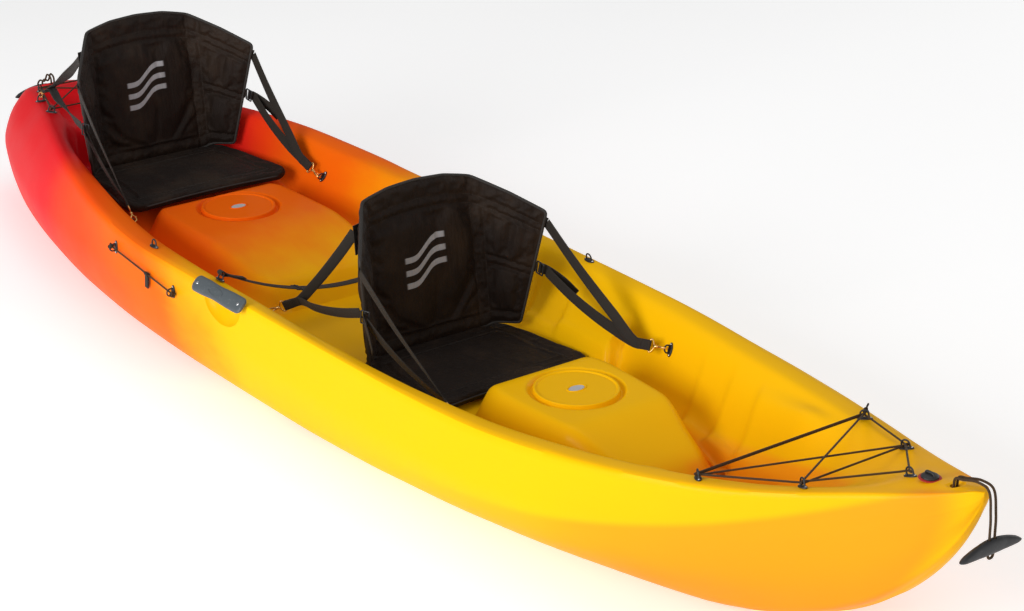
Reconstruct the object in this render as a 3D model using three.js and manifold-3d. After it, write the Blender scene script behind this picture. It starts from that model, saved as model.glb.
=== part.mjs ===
// Tandem sit-on-top kayak: one hollow moulded hull with two folding seats, deck
// cord, carry toggles, side grips, a paddle keeper and their fittings.
// Millimetres. +X points to the bow, +Y to port, +Z up. The keel rests on z = 0.
import * as THREE from "three";
import { mergeVertices } from "three/addons/utils/BufferGeometryUtils.js";
import Module from "manifold-3d";

const HULL_HALF_LENGTH = 1829;
const WALL = 5.6;
const KEEL_STRIP = 36;
const DISC_RADIUS = 96;
const DISC_MOAT = 15;
const FRONT_DISC_X = 650;
const FRONT_DISC_Z = 220;
const REAR_DISC_X = -755;
const REAR_DISC_Z = 227;
const PLUG_BORE = 12;
const ROPE_BORE = 9.5;
const SCUPPER_RADIUS = 16;
const EYE_LENGTH = 34;
const EYE_ROD = 1.9;
const EYE_HOLE = 7;
const EYE_PLATE = 2.5;
const EYE_ROD_HEIGHT = EYE_PLATE + 2 * EYE_HOLE + EYE_ROD;
const HOOK_WIRE = 1.8;
const HOOK_RADIUS = 6.2;
const WEB_WIDTH = 25;
const WEB_THICK = 2.2;
const BUNGEE_RADIUS = 2.2;
const CORD_LANE = 2.4;
const ROPE_RADIUS = 2.6;
const SEAT_THICK = 15;
const PAD_THICK = 30;

const wasm = await Module();
wasm.setup();
const group = new THREE.Group();

// One finish for each material of the boat.
const FINISH = {
  shell: new THREE.MeshStandardMaterial({ color: 0xf2b705, roughness: 0.45 }),
  nylon: new THREE.MeshStandardMaterial({ color: 0x241c17, roughness: 0.9 }),
  webbing: new THREE.MeshStandardMaterial({ color: 0x1b1a19, roughness: 0.85 }),
  cord: new THREE.MeshStandardMaterial({ color: 0x2a2420, roughness: 0.8 }),
  black: new THREE.MeshStandardMaterial({ color: 0x18181a, roughness: 0.5 }),
  grey: new THREE.MeshStandardMaterial({ color: 0x6d7378, roughness: 0.45 }),
  brass: new THREE.MeshStandardMaterial({
    color: 0xc79a4a,
    roughness: 0.3,
    metalness: 1,
  }),
};

// ---- small maths ---------------------------------------------------------

const vec = (x, y, z) => new THREE.Vector3(x, y, z);
const clamp01 = (t) => Math.min(1, Math.max(0, t));
const mix = (a, b, t) => a + (b - a) * t;

// Smooth step from 0 at `a` to 1 at `b`.
function ease(a, b, v) {
  const t = clamp01((v - a) / (b - a));
  return t * t * (3 - 2 * t);
}

// Smooth curve through the rows [x, value] of a table, level beyond its ends.
function curve(rows, x) {
  const last = rows.length - 1;
  if (x <= rows[0][0]) return rows[0][1];
  if (x >= rows[last][0]) return rows[last][1];
  let i = 0;
  while (x > rows[i + 1][0]) i += 1;
  const slope = (k) => (rows[k + 1][1] - rows[k][1]) / (rows[k + 1][0] - rows[k][0]);
  const tangent = (k) => {
    if (k === 0) return slope(0);
    if (k === last) return slope(last - 1);
    const before = slope(k - 1);
    const after = slope(k);
    if (before * after <= 0) return 0;
    return (2 * before * after) / (before + after);
  };
  const h = rows[i + 1][0] - rows[i][0];
  const t = (x - rows[i][0]) / h;
  const t2 = t * t;
  const t3 = t2 * t;
  return (
    (2 * t3 - 3 * t2 + 1) * rows[i][1] +
    (t3 - 2 * t2 + t) * h * tangent(i) +
    (3 * t2 - 2 * t3) * rows[i + 1][1] +
    (t3 - t2) * h * tangent(i + 1)
  );
}

// ---- solids --------------------------------------------------------------

// A closed three.js geometry as a manifold solid.
function solid(geometry) {
  const bare = new THREE.BufferGeometry();
  const flat = geometry.index ? geometry.toNonIndexed() : geometry;
  bare.setAttribute("position", flat.getAttribute("position").clone());
  const merged = mergeVertices(bare, 1e-3);
  const make = (triangles) =>
    new wasm.Manifold(
      new wasm.Mesh({
        numProp: 3,
        vertProperties: merged.attributes.position.array,
        triVerts: triangles,
      }),
    );
  const triangles = new Uint32Array(merged.index.array);
  const made = make(triangles);
  if (made.volume() > 0) return made;
  for (let i = 0; i < triangles.length; i += 3) {
    const swap = triangles[i];
    triangles[i] = triangles[i + 1];
    triangles[i + 1] = swap;
  }
  return make(triangles);
}

// A manifold solid as a three.js geometry.
function geometryOf(made) {
  const mesh = made.getMesh();
  const geometry = new THREE.BufferGeometry();
  const positions = new Float32Array(mesh.numVert * 3);
  for (let i = 0; i < mesh.numVert; i += 1) {
    for (let k = 0; k < 3; k += 1) {
      positions[i * 3 + k] = mesh.vertProperties[i * mesh.numProp + k];
    }
  }
  geometry.setAttribute("position", new THREE.BufferAttribute(positions, 3));
  geometry.setIndex(new THREE.BufferAttribute(mesh.triVerts, 1));
  geometry.computeVertexNormals();
  return geometry;
}

// Adds one named piece to the model.
function addPiece(name, made, finish) {
  const mesh = new THREE.Mesh(geometryOf(made), finish);
  mesh.name = name;
  group.add(mesh);
  return made;
}

// A body through closed rings with the same number of points: capped at both ends,
// or joined end to end when `round` is set.
function loft(rings, round = false) {
  const count = rings[0].length;
  const points = rings.flat();
  const total = points.length;
  const triangles = [];
  for (let r = 0; r + (round ? 0 : 1) < rings.length; r += 1) {
    for (let i = 0; i < count; i += 1) {
      const a = r * count + i;
      const b = r * count + ((i + 1) % count);
      const c = (b + count) % total;
      const d = (a + count) % total;
      triangles.push(a, b, c, a, c, d);
    }
  }
  const cap = (ring, offset, turned) => {
    const centre = ring.reduce((s, p) => s.add(p), vec(0, 0, 0)).divideScalar(count);
    const middle = points.push(centre) - 1;
    for (let i = 0; i < count; i += 1) {
      const a = offset + i;
      const b = offset + ((i + 1) % count);
      if (turned) triangles.push(middle, b, a);
      else triangles.push(middle, a, b);
    }
  };
  if (!round) {
    cap(rings[0], 0, true);
    cap(rings[rings.length - 1], (rings.length - 1) * count, false);
  }
  const geometry = new THREE.BufferGeometry().setFromPoints(points);
  geometry.setIndex(triangles);
  return solid(geometry);
}

// A round cord or rod along a smooth curve through the given points.
function tube(points, radius, sides, steps) {
  const path = new THREE.CatmullRomCurve3(points, false, "centripetal");
  const circle = new THREE.Shape();
  for (let i = 0; i <= sides; i += 1) {
    const a = (i / sides) * 2 * Math.PI;
    const x = radius * Math.cos(a);
    const y = radius * Math.sin(a);
    if (i === 0) circle.moveTo(x, y);
    else circle.lineTo(x, y);
  }
  const options = { steps, curveSegments: 1, extrudePath: path };
  return solid(new THREE.ExtrudeGeometry(circle, options));
}

// A cylinder between two points.
function rod(from, to, radius, sides) {
  const along = to.clone().sub(from);
  const geometry = new THREE.CylinderGeometry(radius, radius, along.length(), sides);
  const turn = new THREE.Quaternion().setFromUnitVectors(
    vec(0, 1, 0),
    along.clone().normalize(),
  );
  geometry.applyQuaternion(turn);
  geometry.translate((from.x + to.x) / 2, (from.y + to.y) / 2, (from.z + to.z) / 2);
  return solid(geometry);
}

// A ball used where cords meet in an eye.
function ball(centre, radius) {
  const geometry = new THREE.IcosahedronGeometry(radius, 1);
  geometry.translate(centre.x, centre.y, centre.z);
  return solid(geometry);
}

// The outer skin of a solid, with any sealed pocket left by a join filled.
function outerSkin(made) {
  const bodies = made.decompose().filter((body) => body.volume() > 0);
  return bodies.sort((a, b) => b.volume() - a.volume())[0];
}

// Moves a solid by a three.js matrix.
const moved = (made, matrix) => made.transform(matrix.elements);

// ---- hull form: half-breadths and heights along the length ----------------

const KEEL_Z = [
  [-1829, 118], [-1820, 98], [-1800, 76], [-1760, 54], [-1700, 34], [-1600, 17],
  [-1450, 5], [-1250, 0], [1270, 0], [1360, 12], [1435, 32], [1524, 72],
  [1608, 124], [1687, 196], [1762, 288], [1795, 346], [1818, 398], [1829, 430],
];
const CHINE_Y = [
  [-1829, 60], [-1820, 88], [-1800, 116], [-1760, 142], [-1700, 166], [-1600, 205],
  [-1450, 250], [-1200, 303], [-900, 350], [-600, 379], [-300, 389], [100, 386],
  [350, 374], [600, 347], [900, 300], [1070, 262], [1220, 222], [1360, 176],
  [1480, 133], [1600, 88], [1710, 46], [1790, 18], [1818, 10], [1829, 5],
];
const CHINE_Z = [
  [-1829, 140], [-1820, 126], [-1800, 110], [-1760, 95], [-1700, 82], [-1600, 68],
  [-1450, 55], [-1200, 44], [-900, 37], [600, 37], [900, 42], [1070, 48],
  [1220, 57], [1360, 76], [1480, 106], [1600, 158], [1710, 246], [1790, 352],
  [1818, 406], [1829, 433],
];
const BELLY_Y = [
  [-1829, 70], [-1820, 104], [-1800, 139], [-1760, 168], [-1700, 197], [-1600, 236],
  [-1450, 286], [-1200, 352], [-900, 400], [-600, 427], [-400, 432], [0, 424],
  [300, 418], [600, 406], [900, 372], [1070, 338], [1220, 292], [1360, 245],
  [1480, 192], [1600, 136], [1710, 83], [1790, 38], [1818, 20], [1829, 8],
];
const BELLY_Z = [
  [-1829, 190], [-1800, 187], [-1700, 176], [-1450, 170], [-1200, 172], [-600, 172],
  [0, 160], [500, 150], [900, 155], [1070, 188], [1220, 217], [1360, 248],
  [1480, 276], [1600, 316], [1710, 362], [1790, 405], [1818, 424], [1829, 438],
];
const RIM_Y = [
  [-1829, 34], [-1820, 54], [-1800, 72], [-1760, 88], [-1700, 106], [-1600, 136],
  [-1450, 194], [-1200, 288], [-1000, 352], [-875, 383], [-750, 407], [-625, 422],
  [-450, 430], [-250, 428], [0, 420], [300, 416], [500, 411], [625, 404],
  [750, 392], [875, 374], [1000, 350], [1125, 319], [1250, 281], [1375, 235],
  [1500, 179], [1625, 116], [1710, 76], [1790, 34], [1818, 17], [1829, 7],
];
const RIM_Z = [
  [-1829, 262], [-1820, 280], [-1800, 292], [-1760, 301], [-1700, 307], [-1600, 315],
  [-1450, 328], [-1200, 333], [-1000, 325], [-750, 304], [-500, 290], [500, 290],
  [750, 289], [1000, 300], [1250, 323], [1375, 340], [1500, 364], [1625, 395],
  [1710, 416], [1790, 438], [1818, 446], [1829, 446],
];
const RIM_BAND = [
  [-1829, 10], [-1800, 22], [-1700, 34], [-1450, 50], [-1200, 44], [-800, 62],
  [-600, 60], [-300, 50], [200, 40], [500, 44], [700, 52], [1000, 58], [1250, 52],
  [1450, 42], [1600, 30], [1700, 22], [1790, 10], [1829, 2],
];
// Inner edge of the rim band, relative to the rim's height.
const INNER_DROP = [
  [-1829, -4], [-1700, -2], [-1450, 6], [-1000, 8], [-400, 3], [400, 9],
  [800, 5], [1100, 2], [1500, 0], [1829, -1],
];
// Half-width and height of the cockpit floor beside the consoles.
const FLOOR_Y = [
  [-1829, 6], [-1740, 30], [-1660, 78], [-1450, 110], [-1330, 158], [-1250, 206],
  [-1100, 240], [-900, 256], [-600, 275], [-300, 288], [0, 286], [300, 278],
  [600, 254], [800, 226], [1000, 182], [1120, 142], [1260, 92], [1400, 52],
  [1560, 22], [1700, 10], [1829, 2],
];
const FLOOR_Z = [
  [-1829, 276], [-1760, 308], [-1700, 306], [-1655, 268], [-1470, 264], [-1420, 300],
  [-1375, 302], [-1290, 206], [-980, 196], [-860, 158], [-500, 138], [-280, 118],
  [60, 114], [500, 110], [1060, 98], [1140, 112], [1260, 176], [1400, 262],
  [1520, 338], [1640, 402], [1710, 420], [1790, 441], [1829, 448],
];
// Raised centre consoles: height, and half-width of the top.
const CONSOLE_Z = [
  [-892, 0], [-868, 227], [-620, 227], [-400, 194], [-345, 186], [-265, 0],
  [452, 0], [520, 220], [782, 220], [880, 190], [1010, 128], [1060, 0],
];
const CONSOLE_Y = [
  [-960, 170], [-880, 176], [-620, 190], [-400, 178], [-345, 150], [-265, 110],
  [0, 110], [452, 150], [520, 150], [760, 142], [880, 112], [1010, 74], [1060, 60],
  [1300, 30], [1829, 2],
];
const CONSOLE_SLOPE = [
  [-960, 34], [-345, 44], [452, 46], [900, 48], [1060, 30], [1400, 12], [1829, 1],
];
// Foot rests: [aft edge, rise] in each pair of footwells.
const REAR_FOOT_STEPS = [40, 170, 300];
const FRONT_FOOT_STEPS = [790, 900, 1010];

const innerY = (x) => Math.max(3, curve(RIM_Y, x) - curve(RIM_BAND, x));
const innerZ = (x) => curve(RIM_Z, x) - curve(INNER_DROP, x);

// Height the foot rests add beside the consoles.
function footRest(x, y) {
  const inner = innerY(x);
  const start = x < 600 ? 240 : inner * 0.5;
  const side = ease(start, start + 30, y) * (1 - ease(inner * 0.86, inner, y));
  const bow = y * 0.25;
  let rise = 0;
  REAR_FOOT_STEPS.forEach((edge) => {
    rise += 22 * ease(edge, edge + 22, x + bow) * (1 - ease(500, 530, x + bow));
  });
  FRONT_FOOT_STEPS.forEach((edge) => {
    rise += 17 * ease(edge, edge + 22, x + bow) * (1 - ease(1130, 1300, x));
  });
  return rise * side;
}

// Height of the deck at x, at a distance y from the centreline.
function deckZ(x, side) {
  const y = Math.abs(side);
  const inner = innerY(x);
  const floor = curve(FLOOR_Z, x);
  const rimZ = innerZ(x);
  const foot = Math.min(curve(FLOOR_Y, x), inner * 0.96);
  const t = clamp01((y - foot) / (inner - foot));
  const wall = (rimZ - floor) * (0.35 * t + 0.65 * t * t * (3 - 2 * t));
  let z = floor + wall;
  const top = curve(CONSOLE_Z, x);
  const half = curve(CONSOLE_Y, x);
  const raised = top * (1 - ease(half, half + curve(CONSOLE_SLOPE, x), y));
  if (raised > 0 && top > floor) {
    z = Math.max(z, floor + (top - floor) * (1 - ease(half, half + curve(CONSOLE_SLOPE, x), y)));
  }
  return Math.min(z + footRest(x, y), Math.max(z, rimZ));
}

// Half of a hull ring from the keel out to the rim, [y, z] pairs.
function outerHalf(x) {
  const keel = curve(KEEL_Z, x);
  const cy = curve(CHINE_Y, x);
  const cz = curve(CHINE_Z, x);
  const by = curve(BELLY_Y, x);
  const bz = curve(BELLY_Z, x);
  const ry = curve(RIM_Y, x);
  const rz = curve(RIM_Z, x);
  return [
    [0, keel],
    [Math.min(KEEL_STRIP, cy * 0.3), keel],
    [cy * 0.42, mix(keel, cz, 0.16)],
    [cy * 0.82, mix(keel, cz, 0.45)],
    [cy, cz],
    [mix(cy, by, 0.62), mix(cz, bz, 0.4)],
    [by, bz],
    [mix(by, ry, 0.36), mix(bz, rz, 0.55)],
    [ry, rz],
  ];
}

// Half of a deck ring from the inner edge of the rim to the centre.
function deckHalf(x) {
  const inner = innerY(x);
  const foot = Math.min(curve(FLOOR_Y, x), inner * 0.94);
  const top = Math.min(curve(CONSOLE_Y, x), foot * 0.9);
  const base = Math.min(top + curve(CONSOLE_SLOPE, x), mix(top, foot, 0.85));
  const across = [
    inner, mix(foot, inner, 0.66), mix(foot, inner, 0.33), foot,
    mix(base, foot, 0.5), base, top, top * 0.5, 0,
  ];
  return across.map((y) => [y, y === inner ? innerZ(x) : deckZ(x, y)]);
}

// A closed ring of points round the hull at x.
function ringAt(x, half) {
  const port = half.map(([y, z]) => vec(x, y, z));
  const starboard = half
    .slice(1, -1)
    .map(([y, z]) => vec(x, -y, z))
    .reverse();
  return port.concat(starboard);
}

const STATIONS = [
  -1829, -1820, -1800, -1770, -1735, -1700, -1665, -1630, -1560, -1490, -1455,
  -1420, -1380, -1345, -1310, -1280, -1200, -1100, -1000, -950, -892, -868, -800,
  -700, -620, -540, -470, -400, -350, -310, -270, -200, -120, -40, 0, 30, 60, 100,
  130, 160, 200, 240, 280, 330, 380, 420, 450, 485, 520, 600, 700, 760, 800, 840,
  880, 910, 940, 980, 1020, 1060, 1110, 1160, 1210, 1270, 1330, 1390, 1450, 1510,
  1570, 1630, 1680, 1730, 1770, 1800, 1818, 1829,
];
const hullSkin = loft(STATIONS.map((x) => ringAt(x, outerHalf(x).concat(deckHalf(x)))));

// ---- hollow inside of the hull --------------------------------------------

// Lowest deck height near a point, so that the hollow stays under the deck.
function deckFloorNear(x, y, rangeX) {
  let low = Infinity;
  [-rangeX, -rangeX / 2, 0, rangeX / 2, rangeX].forEach((dx) => {
    [-16, 0, 8].forEach((dy) => {
      const at = x + dx;
      const across = Math.min(Math.max(0, y + dy), innerY(at));
      low = Math.min(low, deckZ(at, across));
    });
  });
  return low;
}

// Half of a ring of the hollow.
function hollowHalf(x) {
  const keel = curve(KEEL_Z, x);
  const cy = curve(CHINE_Y, x);
  const cz = curve(CHINE_Z, x);
  const by = curve(BELLY_Y, x);
  const bz = curve(BELLY_Z, x);
  const ry = curve(RIM_Y, x);
  const rz = curve(RIM_Z, x);
  const inner = innerY(x);
  const foot = Math.min(curve(FLOOR_Y, x), inner * 0.94);
  const half = [
    [0, keel + WALL + 1],
    [cy * 0.8 - 2, mix(keel, cz, 0.45) + WALL + 1],
    [cy - WALL - 1, cz + WALL],
    [by - WALL - 1.5, bz],
    [ry - WALL - 4, rz - WALL - 4],
  ];
  [inner - 2, mix(foot, inner, 0.5), foot, foot * 0.62, 0].forEach((y) => {
    half.push([y, deckFloorNear(x, y, 62) - WALL - 2]);
  });
  const floorOf = (y) => mix(keel, cz, clamp01(y / cy)) + WALL + 6;
  return half.map(([y, z], i) => [y, i > 4 ? Math.max(z, floorOf(y)) : z]);
}

const HOLLOW_STATIONS = [
  -1790, -1730, -1660, -1560, -1460, -1380, -1300, -1200, -1080, -980, -900, -780,
  -660, -560, -460, -360, -270, -160, -40, 80, 200, 320, 440, 530, 640, 740, 820,
  900, 980, 1060, 1140, 1220, 1300, 1380, 1460, 1540, 1610, 1670, 1712,
];
const hollow = loft(HOLLOW_STATIONS.map((x) => ringAt(x, hollowHalf(x))));
let hull = hullSkin.subtract(hollow);

// ---- details cut into and moulded onto the hull ----------------------------

// A solid of revolution about a vertical axis, from a closed [r, z] profile.
function turned(profile, x, y, z, segments) {
  const outline = profile.map(([r, h]) => new THREE.Vector2(r, h));
  const geometry = new THREE.LatheGeometry(outline.concat([outline[0]]), segments);
  geometry.rotateX(Math.PI / 2);
  geometry.translate(x, y, z);
  return solid(geometry);
}

// Round moulded disc: a ring groove around a flat top with a shallow centre dish.
function mouldedDisc(x, z) {
  const inside = DISC_RADIUS;
  const outside = DISC_RADIUS + DISC_MOAT;
  const groove = turned(
    [[inside, 9], [outside, 9], [outside - 2, -3], [inside + 4, -10], [inside + 1, -9]],
    x, 0, z, 30,
  );
  hull = hull.subtract(groove);
  const dish = turned([[0, -3], [22, -3], [25, 9], [0, 9]], x, 0, z, 14);
  hull = hull.subtract(dish);
}
mouldedDisc(FRONT_DISC_X, FRONT_DISC_Z);
mouldedDisc(REAR_DISC_X, REAR_DISC_Z);

// Drain tube from the deck down through the bottom.
function scupper(x, y) {
  const sleeve = rod(vec(x, y, -20), vec(x, y, 320), SCUPPER_RADIUS + WALL, 10);
  const bore = rod(vec(x, y, -30), vec(x, y, 330), SCUPPER_RADIUS, 10);
  hull = hull.add(sleeve.intersect(hullSkin)).subtract(bore);
}
const SCUPPERS = [[968, 138], [500, 224], [-170, 200]];
SCUPPERS.forEach(([x, y]) => {
  scupper(x, y);
  scupper(x, -y);
});

// Scooped finger recess under each side grip.
const GRIP_X = -137;
const GRIP_Z = 283;
function fingerRecess(side) {
  const scoop = (grow) => {
    const geometry = new THREE.SphereGeometry(1, 14, 10);
    geometry.scale(80 + grow, 40 + grow, 62 + grow);
    geometry.translate(GRIP_X, side * 438, GRIP_Z - 14);
    return solid(geometry);
  };
  hull = hull.add(scoop(WALL).intersect(hullSkin)).subtract(scoop(0));
}
fingerRecess(1);
fingerRecess(-1);

// Bore for the drain plug and the bores the carry ropes are knotted into.
const PLUG_X = 1690;
const ROPE_X = 1752;
const STERN_ROPE_X = -1768;
const plugZ = deckZ(PLUG_X, 0);
hull = hull.subtract(rod(vec(PLUG_X, 0, plugZ - 34), vec(PLUG_X, 0, plugZ + 30), PLUG_BORE, 20));
[ROPE_X, STERN_ROPE_X].forEach((x) => {
  const z = deckZ(x, 0);
  hull = hull.add(
    rod(vec(x, 0, z - 44), vec(x, 0, z + 20), 15, 16).intersect(hullSkin),
  );
  hull = hull.subtract(rod(vec(x, 0, z - 36), vec(x, 0, z + 30), ROPE_BORE, 16));
});
addPiece("hull", hull.simplify(0.25), FINISH.shell);

// ---- deck fittings --------------------------------------------------------

// Outward direction and height of the moulded surface at x, y (upper side).
function surfaceZ(x, y) {
  const side = Math.abs(y);
  const inner = innerY(x);
  if (side <= inner) return deckZ(x, side);
  return mix(innerZ(x), curve(RIM_Z, x), (side - inner) / (curve(RIM_Y, x) - inner));
}
function surfaceNormal(x, y) {
  const d = 14;
  const dx = (surfaceZ(x + d, y) - surfaceZ(x - d, y)) / (2 * d);
  const dy = (surfaceZ(x, y + d) - surfaceZ(x, y - d)) / (2 * d);
  return vec(-dx, -dy, 1).normalize();
}

// Frame of a fitting: origin on the surface, u along its length, n outward.
function fittingFrame(origin, along, outward) {
  const n = outward.clone().normalize();
  const u = along.clone().addScaledVector(n, -along.dot(n)).normalize();
  const v = n.clone().cross(u);
  return new THREE.Matrix4().makeBasis(u, v, n).setPosition(origin);
}

// Lifts a fitting along its frame until it stands clear of the hull.
function standClear(made, frame) {
  const n = vec(0, 0, 1).transformDirection(frame);
  let lift = -3;
  let placed;
  do {
    lift += 0.4;
    const up = frame.clone().setPosition(
      vec(0, 0, 0).setFromMatrixPosition(frame).addScaledVector(n, lift),
    );
    placed = { made: moved(made, up), frame: up };
  } while (placed.made.intersect(hull).volume() > 0 && lift < 30);
  const final = placed.frame.clone().setPosition(
    vec(0, 0, 0).setFromMatrixPosition(placed.frame).addScaledVector(n, 0.35),
  );
  return { made: moved(made, final), frame: final };
}

// Pad eye: a flat foot with a round-holed arch, one moulding.
function padEyeShape() {
  const outline = new THREE.Shape();
  const outer = EYE_HOLE + 2 * EYE_ROD;
  outline.moveTo(-EYE_LENGTH / 2, 0);
  outline.lineTo(EYE_LENGTH / 2, 0);
  outline.lineTo(EYE_LENGTH / 2, EYE_PLATE);
  outline.lineTo(outer, EYE_PLATE + 1);
  for (let i = 0; i <= 6; i += 1) {
    const a = (i / 6) * Math.PI;
    outline.lineTo(outer * Math.cos(a), EYE_PLATE + EYE_HOLE + outer * Math.sin(a));
  }
  outline.lineTo(-outer, EYE_PLATE + 1);
  outline.lineTo(-EYE_LENGTH / 2, EYE_PLATE);
  const hole = new THREE.Path();
  for (let i = 0; i <= 8; i += 1) {
    const a = (-(i + 0.5) / 8) * 2 * Math.PI;
    const x = EYE_HOLE * Math.cos(a);
    const y = EYE_PLATE + EYE_HOLE + EYE_HOLE * Math.sin(a);
    if (i === 0) hole.moveTo(x, y);
    else hole.lineTo(x, y);
  }
  outline.holes.push(hole);
  const depth = 2 * EYE_ROD;
  const arch = new THREE.ExtrudeGeometry(outline, { depth, bevelEnabled: false });
  arch.translate(0, 0, -depth / 2);
  arch.rotateX(Math.PI / 2);
  const foot = new THREE.CylinderGeometry(1, 1, EYE_PLATE, 8);
  foot.rotateX(Math.PI / 2);
  foot.scale(EYE_LENGTH / 2, 7, 1);
  foot.translate(0, 0, EYE_PLATE / 2);
  return solid(arch).add(solid(foot));
}
const padEye = padEyeShape();
const eyes = {};

// Places one pad eye on the upper surface; `heading` turns its length in plan.
function deckEye(name, x, y, heading) {
  const origin = vec(x, y, surfaceZ(x, y));
  const along = vec(Math.cos(heading), Math.sin(heading), 0);
  const frame = fittingFrame(origin, along, surfaceNormal(x, y));
  const placed = standClear(padEye, frame);
  eyes[name] = placed.frame;
  addPiece(name, placed.made, FINISH.black);
}

// Middle of a pad eye's hole, or of the rod over it.
const eyePoint = (name, height) => vec(0, 0, height).applyMatrix4(eyes[name]);
const eyeHole = (name) => eyePoint(name, EYE_PLATE + EYE_HOLE);
const eyeRod = (name) => eyePoint(name, EYE_ROD_HEIGHT);

const DEG = Math.PI / 180;
// Bow deck cord: two pairs of eyes and one on the centreline.
deckEye("bow_eye_aft_starboard", 1302, -227, 147 * DEG);
deckEye("bow_eye_aft_port", 1302, 227, -147 * DEG);
deckEye("bow_eye_mid_starboard", 1500, -140, 161 * DEG);
deckEye("bow_eye_mid_port", 1500, 140, -161 * DEG);
deckEye("bow_eye_centre", 1642, 0, 0);
// Stern deck cord: two pairs.
deckEye("stern_eye_aft_starboard", -1712, -70, 126 * DEG);
deckEye("stern_eye_aft_port", -1712, 70, -126 * DEG);
deckEye("stern_eye_fwd_starboard", -1475, -158, 36 * DEG);
deckEye("stern_eye_fwd_port", -1475, 158, -36 * DEG);

// A cord laced through eyes: straight runs that meet in the holes. `lane` sets a run
// above or below the middle of the holes, so that crossing runs pass clear.
function lacing(name, runs) {
  let cord = null;
  const used = new Set();
  runs.forEach(([from, to, lane]) => {
    const lift = vec(0, 0, lane * CORD_LANE);
    const start = eyeHole(from).add(lift);
    const end = eyeHole(to).add(lift);
    const run = rod(start, end, BUNGEE_RADIUS, 8);
    cord = cord ? cord.add(run) : run;
    [from, to].forEach((eye) => used.add(eye));
  });
  used.forEach((eye) => {
    cord = cord.add(ball(eyeHole(eye), EYE_HOLE - 1.4));
  });
  addPiece(name, cord.simplify(0.05), FINISH.cord);
}
const A = "bow_eye_aft_starboard";
const B = "bow_eye_aft_port";
const C = "bow_eye_mid_starboard";
const D = "bow_eye_mid_port";
const E = "bow_eye_centre";
lacing("bow_deck_cord", [
  [A, B, 0], [A, D, -1], [B, C, 1], [B, D, -1], [C, A, -1], [C, D, 0], [C, E, 0],
  [D, E, 0],
]);
const F = "stern_eye_aft_starboard";
const G = "stern_eye_aft_port";
const H = "stern_eye_fwd_starboard";
const I = "stern_eye_fwd_port";
lacing("stern_deck_cord", [[F, G, 0], [F, I, -1], [G, H, 1], [H, F, 0], [I, G, 0], [H, I, 0]]);

// Leash eyes on the rim and the two eyes of the strap across the middle.
deckEye("rim_eye_starboard", -490, -402, 0);
deckEye("rim_eye_port", 205, 398, 0);
deckEye("mid_eye_starboard", -212, -385, 0);
deckEye("mid_eye_port", -212, 385, 0);

// Drain plug: a cap with a finger bar and a stem in the bore.
{
  const z = plugZ;
  const cap = turned(
    [[0, -22], [10.4, -22], [10.4, 0.4], [17, 0.4], [17, 4], [14, 6.5], [0, 6.5]],
    0, 0, 0, 20,
  );
  const bar = new THREE.BoxGeometry(24, 6, 9);
  bar.translate(0, 0, 9);
  const whole = cap.add(solid(bar));
  let lift = 0;
  let placed;
  do {
    lift += 0.4;
    placed = whole.translate([PLUG_X, 0, z + lift]);
  } while (placed.intersect(hull).volume() > 0 && lift < 20);
  addPiece("drain_plug", whole.translate([PLUG_X, 0, z + lift + 0.3]), FINISH.black);
}

// ---- carry toggles and their ropes ----------------------------------------

// Crescent hand grip, drawn in the y-z plane, with a bore for the rope.
function toggleShape() {
  const outline = new THREE.Shape();
  outline.moveTo(-78, 6);
  outline.quadraticCurveTo(-40, 12, 0, 14);
  outline.quadraticCurveTo(40, 12, 78, 6);
  outline.quadraticCurveTo(76, -6, 56, -10);
  outline.quadraticCurveTo(0, -20, -56, -10);
  outline.quadraticCurveTo(-76, -6, -78, 6);
  const options = {
    depth: 8, curveSegments: 4, steps: 1,
    bevelEnabled: true, bevelThickness: 4, bevelSize: 4, bevelSegments: 1,
  };
  const geometry = new THREE.ExtrudeGeometry(outline, options);
  geometry.translate(0, 0, -4);
  geometry.rotateX(Math.PI / 2);
  geometry.rotateZ(Math.PI / 2);
  return solid(geometry);
}
const toggle = toggleShape();
const TOGGLE_X = 1850;
const TOGGLE_BORE = 7;

// Hangs a toggle at the end of the hull and threads its rope through it.
function carryToggle(end, direction, boreX, lipX, lipZ, hangZ) {
  const centre = vec(direction * TOGGLE_X, 0, hangZ);
  const bores = [-1, 1].map((side) =>
    rod(
      vec(centre.x, side * TOGGLE_BORE, hangZ - 30),
      vec(centre.x, side * TOGGLE_BORE, hangZ + 30),
      ROPE_RADIUS + 1.6, 10,
    ),
  );
  let grip = toggle.translate([centre.x, 0, centre.z]);
  bores.forEach((bore) => {
    grip = grip.subtract(bore);
  });
  addPiece(end + "_toggle", grip, FINISH.black);
  const z = deckZ(boreX, 0);
  const hanging = lipZ - hangZ > 60;
  const drop = vec(centre.x - direction * 2, 7, mix(lipZ, hangZ, 0.4));
  const strand = (side) =>
    [
      vec(boreX, side * 4.6, z - 26),
      vec(boreX + direction * 1, side * 4.6, z - 4),
      vec(boreX + direction * 4, side * 4.8, z + 14),
      vec(boreX + direction * 22, side * 5.4, z + 19),
      vec(lipX - direction * 20, side * 6, lipZ + 10),
      vec(lipX + direction * 8, side * 6.5, lipZ + 5),
      ...(hanging ? [vec(drop.x, side * drop.y, drop.z)] : []),
      vec(centre.x, side * 7, hangZ + (hanging ? 24 : 17)),
      vec(centre.x, side * 7, hangZ - 12),
    ];
  const under = [
    vec(centre.x, 6.6, hangZ - 21),
    vec(centre.x, 3.4, hangZ - 25.5),
    vec(centre.x, -3.4, hangZ - 25.5),
    vec(centre.x, -6.6, hangZ - 21),
  ];
  const route = strand(1).concat(under, strand(-1).reverse());
  addPiece(end + "_toggle_rope", tube(route, ROPE_RADIUS, 8, 52), FINISH.cord);
}
carryToggle("bow", 1, ROPE_X, HULL_HALF_LENGTH, 450, 345);
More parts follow.
